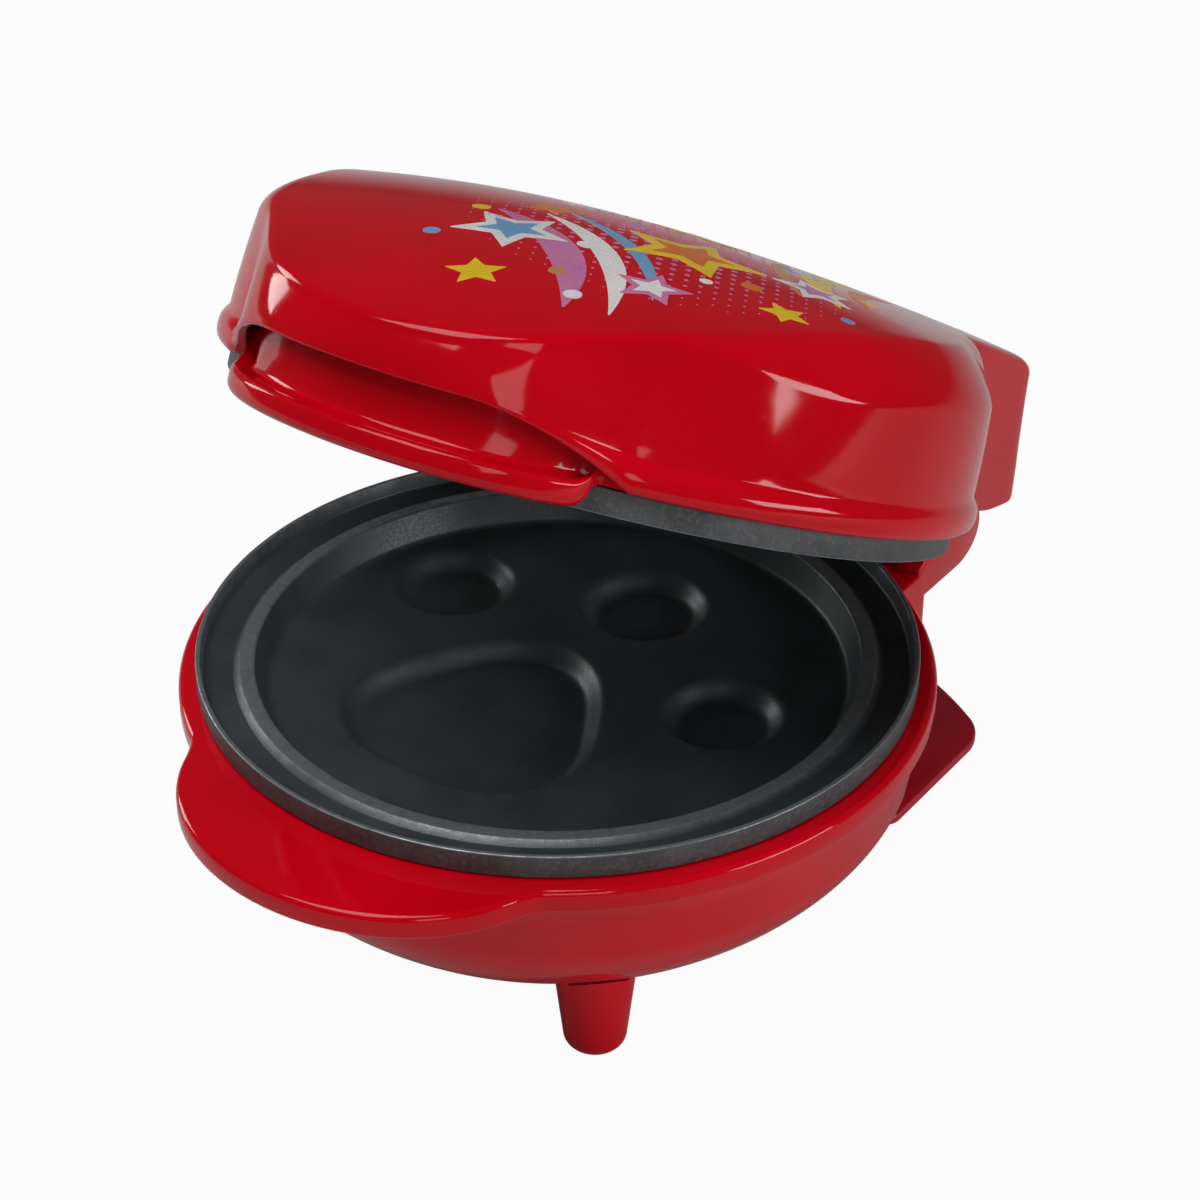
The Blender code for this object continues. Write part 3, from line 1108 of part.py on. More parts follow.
def centre_on_floor():
    """Moves everything so that the origin lies under the middle of the open appliance."""
    bpy.context.view_layer.update()
    graph = bpy.context.evaluated_depsgraph_get()
    reach = []
    for piece in bpy.context.scene.objects:
        if piece.type != "EMPTY" and not piece.hide_render:
            solid = piece.evaluated_get(graph)
            reach += [(solid.matrix_world @ vertex.co).y for vertex in solid.to_mesh().vertices]
    base_frame.location.y = -(min(reach) + max(reach)) / 2.0


def main():
    build_lower_casing()
    build_plate("lower_plate", rim_z, -1.0)
    build_element("lower_element", rim_z, -1.0)
    build_reflector("lower_reflector", rim_z, -1.0)
    build_base_plate()
    for name, place in foot_places.items():
        build_foot(name, place)
    build_lid_housing()
    build_lid_cover()
    build_plate("upper_plate", upper_rim_z, 1.0)
    build_element("upper_element", upper_rim_z, 1.0)
    build_reflector("upper_reflector", upper_rim_z, 1.0)
    build_small_pieces()
    centre_on_floor()


main()
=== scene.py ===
import math

import bmesh
import bpy
from mathutils import Matrix, Vector
from mathutils.geometry import delaunay_2d_cdt


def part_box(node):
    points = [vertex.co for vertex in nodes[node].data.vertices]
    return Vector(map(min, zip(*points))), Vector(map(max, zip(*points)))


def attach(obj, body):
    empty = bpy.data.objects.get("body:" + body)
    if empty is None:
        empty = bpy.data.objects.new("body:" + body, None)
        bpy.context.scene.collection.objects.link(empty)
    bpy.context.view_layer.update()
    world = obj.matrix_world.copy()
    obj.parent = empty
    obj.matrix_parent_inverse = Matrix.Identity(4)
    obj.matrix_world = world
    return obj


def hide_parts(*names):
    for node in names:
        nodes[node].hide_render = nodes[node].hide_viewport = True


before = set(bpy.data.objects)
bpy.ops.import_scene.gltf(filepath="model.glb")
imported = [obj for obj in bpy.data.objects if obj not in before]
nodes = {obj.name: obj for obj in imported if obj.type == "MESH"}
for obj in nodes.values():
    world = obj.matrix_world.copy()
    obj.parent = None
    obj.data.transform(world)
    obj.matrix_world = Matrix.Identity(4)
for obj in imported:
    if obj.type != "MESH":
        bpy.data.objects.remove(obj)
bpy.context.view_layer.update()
print("frame loaded:", len(nodes), "solids")

# All sizes below are millimetres, drawn with the lid closed and the plates' axis at the origin.
lowCorner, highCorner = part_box("lower_plate")
axisY = (lowCorner.y + highCorner.y) / 2
rimHeight = highCorner.z * 1000
hinge = {"back": 87.4, "height": 57.0, "open": 25.6}
toMetres = Matrix.Scale(0.001, 4)
baseSpace = Matrix.Translation((0, axisY, 0)) @ toMetres
hingeSpot = Vector((0, hinge["back"], hinge["height"]))
lidSpace = (baseSpace @ Matrix.Translation(hingeSpot)
            @ Matrix.Rotation(-math.radians(hinge["open"]), 4, "X") @ Matrix.Translation(-hingeSpot))

# Node helpers

def newFinish(name, **plain):
    paint = bpy.data.materials.new(name)
    paint.use_nodes = True
    shader = paint.node_tree.nodes["Principled BSDF"]
    for socket, value in plain.items():
        shader.inputs[socket.replace("_", " ")].default_value = value
    return paint, paint.node_tree, shader


def addNode(tree, kind, inputs=(), **settings):
    node = tree.nodes.new("ShaderNode" + kind)
    for key, value in settings.items():
        setattr(node, key, value)
    for key, value in dict(inputs).items():
        if isinstance(value, bpy.types.NodeSocket):
            tree.links.new(value, node.inputs[key])
        else:
            node.inputs[key].default_value = value
    return node


# Camera, floor and light

cameraPlan = {"turn": 35.08, "rise": 33.0, "distance": 590.24, "right": 8.434, "up": 5.107,
              "lens": 87.83, "shift": 0.00833}


def skyward(plan):
    # turn is counted from the front towards the right, rise above the floor, both in degrees
    turn, rise = math.radians(plan["turn"]), math.radians(plan["rise"])
    return Vector((math.sin(turn) * math.cos(rise), -math.cos(turn) * math.cos(rise), math.sin(rise)))


def setCamera():
    back = skyward(cameraPlan)
    right = Vector((-back.y, back.x, 0)).normalized()
    up = back.cross(right)
    spot = Vector((0, axisY * 1000, rimHeight))
    spot += back * cameraPlan["distance"] + right * cameraPlan["right"] + up * cameraPlan["up"]
    data = bpy.data.cameras.new("photoCamera")
    data.sensor_width = 36
    data.lens = cameraPlan["lens"]
    data.shift_y = cameraPlan["shift"]
    data.clip_start = 0.01
    camera = bpy.data.objects.new("photoCamera", data)
    bpy.context.collection.objects.link(camera)
    grid = Matrix((right, up, back)).transposed().to_4x4()
    camera.matrix_world = Matrix.Translation(spot * 0.001) @ grid
    bpy.context.scene.camera = camera


lamps = {
    "keyWindow": {"turn": -20, "rise": 70, "distance": 1.3, "size": (0.8, 0.8), "power": 10.6},
    "rightWindow": {"turn": 98, "rise": 14, "distance": 1.2, "size": (0.66, 0.26), "power": 5.4},
    "leftWindow": {"turn": -88, "rise": 18, "distance": 1.2, "size": (0.28, 0.5), "power": 3.4},
    "frontWindow": {"turn": 42, "rise": 27, "distance": 1.3, "size": (0.34, 0.46), "power": 1.4},
}
studio = {"ambient": 0.08, "floorRadius": 6, "floorColour": (0.66, 0.66, 0.66), "floorGlow": 0.95}


def addLamp(name, plan):
    away = skyward(plan)
    data = bpy.data.lights.new(name, "AREA")
    data.shape = "RECTANGLE"
    data.size, data.size_y = plan["size"]
    data.energy = plan["power"]
    lamp = bpy.data.objects.new(name, data)
    lamp.location = away * plan["distance"] + Vector((0, axisY, 0.06))
    lamp.rotation_euler = away.to_track_quat("Z", "Y").to_euler()
    bpy.context.collection.objects.link(lamp)


def setStudio():
    world = bpy.data.worlds.new("studio")
    bpy.context.scene.world = world
    world.use_nodes = True
    tree = world.node_tree
    dim = tree.nodes["Background"]
    dim.inputs["Color"].default_value = (1, 1, 1, 1)
    dim.inputs["Strength"].default_value = studio["ambient"]
    white = addNode(tree, "Background", {"Color": (1, 1, 1, 1), "Strength": 1}).outputs[0]
    seen = addNode(tree, "LightPath").outputs["Is Camera Ray"]
    mixed = addNode(tree, "MixShader", {0: seen, 1: dim.outputs[0], 2: white}).outputs[0]
    tree.links.new(mixed, tree.nodes["World Output"].inputs["Surface"])

    bm = bmesh.new()
    bmesh.ops.create_circle(bm, cap_ends=True, segments=96, radius=studio["floorRadius"])
    mesh = bpy.data.meshes.new("floor")
    bm.to_mesh(mesh)
    bm.free()
    floor = bpy.data.objects.new("floor", mesh)
    bpy.context.collection.objects.link(floor)
    paint, tree, matt = newFinish("paleFloor", Roughness=0.8, Base_Color=(*studio["floorColour"], 1))
    glow = addNode(tree, "Emission", {"Strength": 1}).outputs[0]
    seen = addNode(tree, "LightPath").outputs["Is Camera Ray"]
    share = addNode(tree, "Math", {0: seen, 1: studio["floorGlow"]}, operation="MULTIPLY").outputs[0]
    mixed = addNode(tree, "MixShader", {0: share, 1: matt.outputs[0], 2: glow}).outputs[0]
    tree.links.new(mixed, tree.nodes["Material Output"].inputs["Surface"])
    mesh.materials.append(paint)
    for name, plan in lamps.items():
        addLamp(name, plan)


setCamera()
setStudio()
scene = bpy.context.scene
scene.view_settings.view_transform = "Standard"
print("camera and studio set")

# Finishes

def drawnPlace(tree):
    # object coordinates in millimetres
    place = addNode(tree, "TexCoord").outputs["Object"]
    return addNode(tree, "Mapping", {"Vector": place, "Scale": (1000, 1000, 1000)}).outputs[0]


def lidPlace(tree):
    # millimetres as the lid lies when closed, seen from above
    place = addNode(tree, "TexCoord").outputs["Object"]
    shifted = addNode(tree, "VectorMath", {0: place, 1: (0, axisY + hinge["back"] / 1000, hinge["height"] / 1000)},
                      operation="SUBTRACT").outputs[0]
    turned = addNode(tree, "Mapping", {"Vector": shifted, "Rotation": (math.radians(hinge["open"]), 0, 0),
                                       "Scale": (1000, 1000, 1000)}).outputs[0]
    return addNode(tree, "VectorMath", {0: turned, 1: (0, hinge["back"], hinge["height"])},
                   operation="ADD").outputs[0]


def grain(tree, place, size, detail=3.0, rough=0.5, stretch=(1, 1, 1)):
    # noise whose blobs are about size millimetres across
    spread = addNode(tree, "Mapping", {"Vector": place, "Scale": [s / size for s in stretch]}).outputs[0]
    return addNode(tree, "TexNoise", {"Vector": spread, "Scale": 1.0, "Detail": detail,
                                      "Roughness": rough}).outputs["Fac"]


def remap(tree, value, fromLow, fromHigh, toLow, toHigh):
    return addNode(tree, "MapRange", {"Value": value, "From Min": fromLow, "From Max": fromHigh,
                                      "To Min": toLow, "To Max": toHigh}).outputs[0]


def maths(tree, kind, a, b=0.0):
    return addNode(tree, "Math", {0: a, 1: b}, operation=kind).outputs[0]


def blendColour(tree, share, low, high):
    node = addNode(tree, "Mix", data_type="RGBA")
    for index, value in ((0, share), (6, low), (7, high)):
        if isinstance(value, bpy.types.NodeSocket):
            tree.links.new(value, node.inputs[index])
        else:
            node.inputs[index].default_value = (*value, 1) if isinstance(value, tuple) else value
    return node.outputs[2]


def setBump(tree, shader, height, depth, strength=1.0, before=None):
    # depth is in millimetres
    bump = addNode(tree, "Bump", {"Height": height, "Distance": depth / 1000, "Strength": strength})
    if before is not None:
        tree.links.new(before, bump.inputs["Normal"])
    tree.links.new(bump.outputs[0], shader.inputs["Normal"])
    return bump.outputs[0]


plastic = {"deep": (0.50, 0.0, 0.006), "bright": (0.61, 0.0, 0.009), "gloss": (0.045, 0.10),
           "ripple": 0.012, "rippleSize": 6.0}


def glossRedFinish():
    # polished moulding: faint clouds in the red, a slow ripple, wiping smears and fine scratches
    paint, tree, shader = newFinish("glossRed", Specular_IOR_Level=0.27)
    place = drawnPlace(tree)
    cloud = grain(tree, place, 40, 2)
    colour = blendColour(tree, remap(tree, cloud, 0.3, 0.7, 0, 1), plastic["deep"], plastic["bright"])
    tree.links.new(colour, shader.inputs["Base Color"])
    smear = grain(tree, place, 9, 4, 0.6)
    scratch = grain(tree, place, 1.2, 2, 0.5, (1, 0.06, 1))
    rubbedAndHighlight = maths(tree, "MULTIPLY", remap(tree, scratch, 0.62, 0.72, 0, 0.12), remap(tree, smear, 0.5, 0.7, 0, 1))
    rough = maths(tree, "ADD", remap(tree, smear, 0.3, 0.7, *plastic["gloss"]), rubbedAndHighlight)
    tree.links.new(rough, shader.inputs["Roughness"])
    ripple = grain(tree, place, plastic["rippleSize"], 1)
    first = setBump(tree, shader, ripple, plastic["ripple"])
    setBump(tree, shader, scratch, 0.001, 0.5, first)
    return paint


def satinRedFinish():
    # spark-eroded mould surface: even fine grain
    paint, tree, shader = newFinish("satinRed", Specular_IOR_Level=0.5)
    place = drawnPlace(tree)
    cloud = grain(tree, place, 30, 2)
    colour = blendColour(tree, remap(tree, cloud, 0.3, 0.7, 0, 1), (0.40, 0.004, 0.018), (0.50, 0.006, 0.026))
    tree.links.new(colour, shader.inputs["Base Color"])
    pits = grain(tree, place, 0.35, 2)
    tree.links.new(remap(tree, pits, 0.3, 0.7, 0.34, 0.5), shader.inputs["Roughness"])
    setBump(tree, shader, pits, 0.05)
    return paint


def nonStickFinish():
    # dark sprayed coating with fine flakes; where the plate's edge mask is high it is painted lighter, glossier and
    # more metallic, a painted highlight along the rim and bead edges
    paint, tree, shader = newFinish("nonStick", Specular_IOR_Level=0.55)
    place = drawnPlace(tree)
    cloud = grain(tree, place, 14, 3)
    base = blendColour(tree, remap(tree, cloud, 0.3, 0.7, 0, 1), (0.034, 0.042, 0.046), (0.050, 0.060, 0.066))
    flakes = addNode(tree, "TexVoronoi", {"Vector": place, "Scale": 1.6}, feature="F1")
    dot = remap(tree, flakes.outputs["Distance"], 0.10, 0.16, 1, 0)
    tint = remap(tree, addNode(tree, "SeparateColor", {0: flakes.outputs["Color"]}).outputs[0], 0.62, 0.9, 0, 0.55)
    speck = maths(tree, "MULTIPLY", dot, tint)
    flaked = blendColour(tree, speck, base, (0.16, 0.17, 0.18))
    # mask of the painted highlight along the rim and bead edges
    edgeHighlight = addNode(tree, "Attribute", attribute_name="rubbedAndHighlight").outputs["Fac"]
    patches = remap(tree, grain(tree, place, 3.5, 4, 0.65), 0.34, 0.62, 0.35, 1)
    highlightShare = maths(tree, "MULTIPLY", edgeHighlight, patches)
    # painted highlight: the coating turns lighter grey, more metallic and glossier on those edges
    colour = blendColour(tree, highlightShare, flaked, (0.30, 0.33, 0.35))
    tree.links.new(colour, shader.inputs["Base Color"])
    tree.links.new(remap(tree, highlightShare, 0, 1, 0.25, 0.8), shader.inputs["Metallic"])
    skin = grain(tree, place, 0.5, 2)
    rough = maths(tree, "SUBTRACT", remap(tree, skin, 0.3, 0.7, 0.36, 0.5), maths(tree, "MULTIPLY", highlightShare, 0.1))
    tree.links.new(rough, shader.inputs["Roughness"])
    setBump(tree, shader, skin, 0.035)
    return paint


def litCastEdgeFinish():
    # the plate's side, sprayed thinner over rough cast metal and painted a lighter grey, partly for the light that
    # falls on it from the front
    paint, tree, shader = newFinish("litCastEdge", Metallic=0.35)
    place = drawnPlace(tree)
    pits = grain(tree, place, 0.9, 4, 0.6)
    cloud = grain(tree, place, 8, 3)
    # lighter grey than the coating: partly the cast metal, partly painted light on the side that faces the front
    low = blendColour(tree, remap(tree, cloud, 0.3, 0.7, 0, 1), (0.050, 0.055, 0.058), (0.085, 0.09, 0.094))
    colour = blendColour(tree, remap(tree, pits, 0.5, 0.7, 0, 0.5), low, (0.16, 0.165, 0.17))
    tree.links.new(colour, shader.inputs["Base Color"])
    tree.links.new(remap(tree, pits, 0.3, 0.7, 0.42, 0.62), shader.inputs["Roughness"])
    setBump(tree, shader, pits, 0.12)
    return paint


def metalFinish(name, low, high, gloss, lineSize, pitDepth, metallic=1.0):
    # drawn or rolled metal: lines in one direction, a few darker clouds
    paint, tree, shader = newFinish(name, Metallic=metallic)
    place = drawnPlace(tree)
    cloud = grain(tree, place, 6, 4, 0.6)
    tree.links.new(blendColour(tree, remap(tree, cloud, 0.35, 0.65, 0, 1), low, high), shader.inputs["Base Color"])
    lines = grain(tree, place, lineSize, 3, 0.6, (1, 0.05, 1))
    tree.links.new(remap(tree, lines, 0.3, 0.7, *gloss), shader.inputs["Roughness"])
    setBump(tree, shader, lines, pitDepth)
    return paint


def mattFinish(name, low, high, gloss, grainSize, depth):
    paint, tree, shader = newFinish(name)
    place = drawnPlace(tree)
    cloud = grain(tree, place, grainSize * 8, 3)
    tree.links.new(blendColour(tree, remap(tree, cloud, 0.3, 0.7, 0, 1), low, high), shader.inputs["Base Color"])
    pits = grain(tree, place, grainSize, 3)
    tree.links.new(remap(tree, pits, 0.3, 0.7, *gloss), shader.inputs["Roughness"])
    setBump(tree, shader, pits, depth)
    return paint


def sleeveFinish():
    # braided glass fibre: two crossing waves
    paint, tree, shader = newFinish("braidedSleeve", Roughness=0.75)
    place = drawnPlace(tree)
    waves = []
    for turn in (0.8, -0.8):
        slanted = addNode(tree, "Mapping", {"Vector": place, "Rotation": (turn, 0, turn)}).outputs[0]
        waves.append(addNode(tree, "TexWave", {"Vector": slanted, "Scale": 1.1, "Distortion": 0.4}).outputs["Fac"])
    weave = maths(tree, "MAXIMUM", *waves)
    tree.links.new(blendColour(tree, weave, (0.42, 0.40, 0.34), (0.78, 0.75, 0.67)), shader.inputs["Base Color"])
    setBump(tree, shader, weave, 0.2)
    return paint


def inkFinish(name, ink):
    # screen-printed ink: a fine dot grain, a soft shade across the motif, a few pinholes
    paint, tree, shader = newFinish(name, Specular_IOR_Level=0.5)
    place = lidPlace(tree)
    shade = remap(tree, grain(tree, place, 16, 2), 0.3, 0.7, 0, 1)
    deep = tuple(c * 0.80 for c in ink)
    screen = addNode(tree, "TexVoronoi", {"Vector": place, "Scale": 2.2, "Randomness": 0.15})
    dots = remap(tree, screen.outputs["Distance"], 0.2, 0.5, 0.0, 0.08)
    toned = blendColour(tree, shade, deep, ink)
    tree.links.new(blendColour(tree, dots, toned, tuple(c * 0.62 for c in ink)), shader.inputs["Base Color"])
    film = grain(tree, place, 0.6, 3, 0.6)
    tree.links.new(remap(tree, film, 0.3, 0.7, 0.2, 0.34), shader.inputs["Roughness"])
    setBump(tree, shader, film, 0.006)
    return paint


glossRed = glossRedFinish()
satinRed = satinRedFinish()
nonStick = nonStickFinish()
litCastEdge = litCastEdgeFinish()
brightSteel = metalFinish("brightSteel", (0.55, 0.55, 0.57), (0.68, 0.68, 0.70), (0.2, 0.36), 0.4, 0.01)
rolledSheet = metalFinish("rolledSheet", (0.58, 0.58, 0.58), (0.74, 0.74, 0.73), (0.3, 0.45), 0.7, 0.015)
heaterSheath = metalFinish("heaterSheath", (0.09, 0.08, 0.075), (0.20, 0.17, 0.14), (0.4, 0.6), 0.6, 0.03, 0.85)
whiteCeramic = mattFinish("whiteCeramic", (0.70, 0.68, 0.63), (0.80, 0.78, 0.74), (0.3, 0.5), 0.5, 0.04)
blackRubber = mattFinish("blackRubber", (0.012, 0.012, 0.013), (0.026, 0.026, 0.027), (0.55, 0.75), 0.3, 0.04)
sleeve = sleeveFinish()
print("finishes ready")

# Shared shapes. Angles are degrees from the front, counted towards the right.

def ease(value):
    value = min(max(value, 0.0), 1.0)
    return value * value * (3 - 2 * value)


def between(a, b, share):
    return a + (b - a) * share


def softMax(a, b, fillet):
    share = min(max(0.5 + (a - b) / (2 * fillet), 0.0), 1.0)
    return between(b, a, share) + fillet * share * (1 - share)


def around(angle, radius, height):
    turn = math.radians(angle)
    return Vector((radius * math.sin(turn), -radius * math.cos(turn), height))


def offFront(angle):
    return min(angle, 360 - angle)


def evenAngles(count):
    return [360 * i / count for i in range(count)]


def twoSided(spans):
    half = [start + (end - start) * i / steps for start, end, steps in spans for i in range(steps)]
    return half + [180.0] + [360 - angle for angle in reversed(half[1:])]


def softCorners(profile, radii, steps=4):
    # rounds the corners of an open line of (radius, height) points
    out = [profile[0]]
    for before, point, after, radius in zip(profile, profile[1:], profile[2:], radii[1:]):
        a, p, b = Vector(before), Vector(point), Vector(after)
        if radius <= 0 or (a - p).length < 1e-6 or (b - p).length < 1e-6:
            out.append(point)
            continue
        inward, outward = (a - p).normalized(), (b - p).normalized()
        half = inward.angle(outward) / 2
        reach = min(radius / math.tan(half), (a - p).length * 0.49, (b - p).length * 0.49)
        start, end = p + inward * reach, p + outward * reach
        for i in range(steps + 1):
            t = i / steps
            spot = start * (1 - t) ** 2 + p * 2 * t * (1 - t) + end * t ** 2
            out.append((spot.x, spot.y))
    out.append(profile[-1])
    return out


def skin(rings, loop=False):
    # joins rings of points in order; a ring of one point is a pole, wider end rings are capped
    bm = bmesh.new()
    lines = [[bm.verts.new(point) for point in ring] for ring in rings]
    pairs = list(zip(lines, lines[1:]))
    if loop:
        pairs.append((lines[-1], lines[0]))
    for low, high in pairs:
        count = max(len(low), len(high))
        for i in range(count):
            j = (i + 1) % count
            if len(low) == 1:
                bm.faces.new((low[0], high[j], high[i]))
            elif len(high) == 1:
                bm.faces.new((low[i], low[j], high[0]))
            else:
                bm.faces.new((low[i], low[j], high[j], high[i]))
    if not loop:
        for line in (lines[0], lines[-1]):
            if len(line) > 1:
                bm.faces.new(line)
    return bm


def lathe(profile, segments, centre=(0, 0), loop=False):
    shift = Vector((*centre, 0))
    rings = [[around(angle, radius, height) + shift for angle in evenAngles(segments)] if radius > 0
             else [Vector((0, 0, height)) + shift] for radius, height in profile]
    return skin(rings, loop)


def slab(outline, low, high, across=False):
    if across:
        return skin([[Vector((level, y, z)) for y, z in outline] for level in (low, high)])
    return skin([[Vector((x, y, level)) for x, y in outline] for level in (low, high)])


def bar(start, end, radius, segments=32):
    start, end = Vector(start), Vector(end)
    along = (end - start).normalized()
    side = along.orthogonal().normalized()
    other = along.cross(side)
    turns = [math.tau * i / segments for i in range(segments)]
    return skin([[point + side * radius * math.cos(t) + other * radius * math.sin(t) for t in turns]
                 for point in (start, end)])


def asObject(name, bm):
    bmesh.ops.remove_doubles(bm, verts=bm.verts, dist=0.004)
    bmesh.ops.recalc_face_normals(bm, faces=bm.faces)
    mesh = bpy.data.meshes.new(name)
    bm.to_mesh(mesh)
    bm.free()
    made = bpy.data.objects.new(name, mesh)
    bpy.context.collection.objects.link(made)
    return made


def roundEdges(piece, width, angle=40, steps=3):
    bevel = piece.modifiers.new("soft edges", "BEVEL")
    bevel.width = width
    bevel.segments = steps
    bevel.limit_method = "ANGLE"
    bevel.angle_limit = math.radians(angle)
    bevel.harden_normals = False
    settle(piece)


def settle(piece):
    # turns a piece's modifiers into plain mesh
    graph = bpy.context.evaluated_depsgraph_get()
    graph.update()
    mesh = bpy.data.meshes.new_from_object(piece.evaluated_get(graph))
    piece.modifiers.clear()
    piece.data = mesh


def shape(piece, operation, *tools):
    for tool in tools:
        if not isinstance(tool, bpy.types.Object):
            tool = asObject("tool", tool)
        step = piece.modifiers.new("step", "BOOLEAN")
        step.object = tool
        step.operation = operation
        step.solver = "EXACT"
        settle(piece)
        bpy.data.objects.remove(tool, do_unlink=True)


def finishPiece(piece, space, body, materials, replaced, sharp=32):
    mesh = piece.data
    mesh.transform(space)
    marks = [face.material_index for face in mesh.polygons]
    mesh.materials.clear()
    for paint in materials:
        mesh.materials.append(paint)
    if len(materials) > 1:
        mesh.polygons.foreach_set("material_index", marks)
    mesh.shade_smooth()
    mesh.set_sharp_from_angle(angle=math.radians(sharp))
    if replaced:
        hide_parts(*replaced)
    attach(piece, body)
    print("made", piece.name, len(mesh.polygons), "faces")
    return piece


# The two handle lobes are ellipses that grow out of the round body

gap = 0.3
screw = {"bore": 1.8, "head": 3.5, "headDepth": 2.1}
lobeMiddle = 58.2
baseLobe = {"halfWidth": 41.4, "halfLength": 33.6}
lidLobe = {"halfWidth": 40.4, "halfLength": 29.0}


def lobeReach(angle, lobe, inset=0.0):
    turn = math.radians(angle)
    length = lobe["halfLength"] - inset
    across = math.sin(turn) / (lobe["halfWidth"] - inset)
    ahead = math.cos(turn) / length
    offset = lobeMiddle / length
    squared = across * across + ahead * ahead
    root = (ahead * offset) ** 2 - squared * (offset * offset - 1)
    if root < 0 or ahead < 0:
        return 0.0
    return (ahead * offset + math.sqrt(root)) / squared


def handleOutline(angle, lobe, roundRadius, fillet, inset=0.0):
    return softMax(lobeReach(angle, lobe, inset), roundRadius - inset, fillet)


# Lower casing

casing = {"foot": 20.0, "height": 37.5, "wall": 2.2, "flange": 76.5, "flangeHeight": 5.0, "topRadius": 75.2,
          "sideRadius": 72.8, "bottomRadius": 57.6, "turnHeight": 20.2, "edgeRound": 1.5, "ledge": 2.6,
          "opening": 70.6, "notch": 3.5, "ribs": 3, "pocketAngle": 25.0}
ears = {"radius": 9.4, "drop": 7.4, "outer": 43.7, "thickness": 5.5, "pedestalBack": 75.7, "pedestalBase": 9.0,
        "slope": 6.0, "corner": 3.4, "pinBore": 2.5, "seatFloor": 1.2}
leadHole = {"side": -18, "drop": 5.6, "radius": 2.1}
flangeTop = casing["foot"] + casing["height"]
earInner = ears["outer"] - ears["thickness"]
casingAngles = twoSided([(0, 26, 14), (26, 44, 36), (44, 180, 84)])


def bowlRadius(height):
    side = casing["height"] - casing["flangeHeight"]
    if height > casing["turnHeight"]:
        share = (height - casing["turnHeight"]) / (side - casing["turnHeight"])
        return between(casing["sideRadius"], casing["topRadius"], share)
    return between(casing["sideRadius"], casing["bottomRadius"], (1 - height / casing["turnHeight"]) ** 1.6)


def handleFlange(angle):
    return handleOutline(angle, baseLobe, casing["flange"], casing["notch"])


def casingRing(radius, height):
    return [around(angle, radius, height) for angle in casingAngles]


def flangeRing(inset, height):
    return [around(angle, handleFlange(angle) - inset, height) for angle in casingAngles]


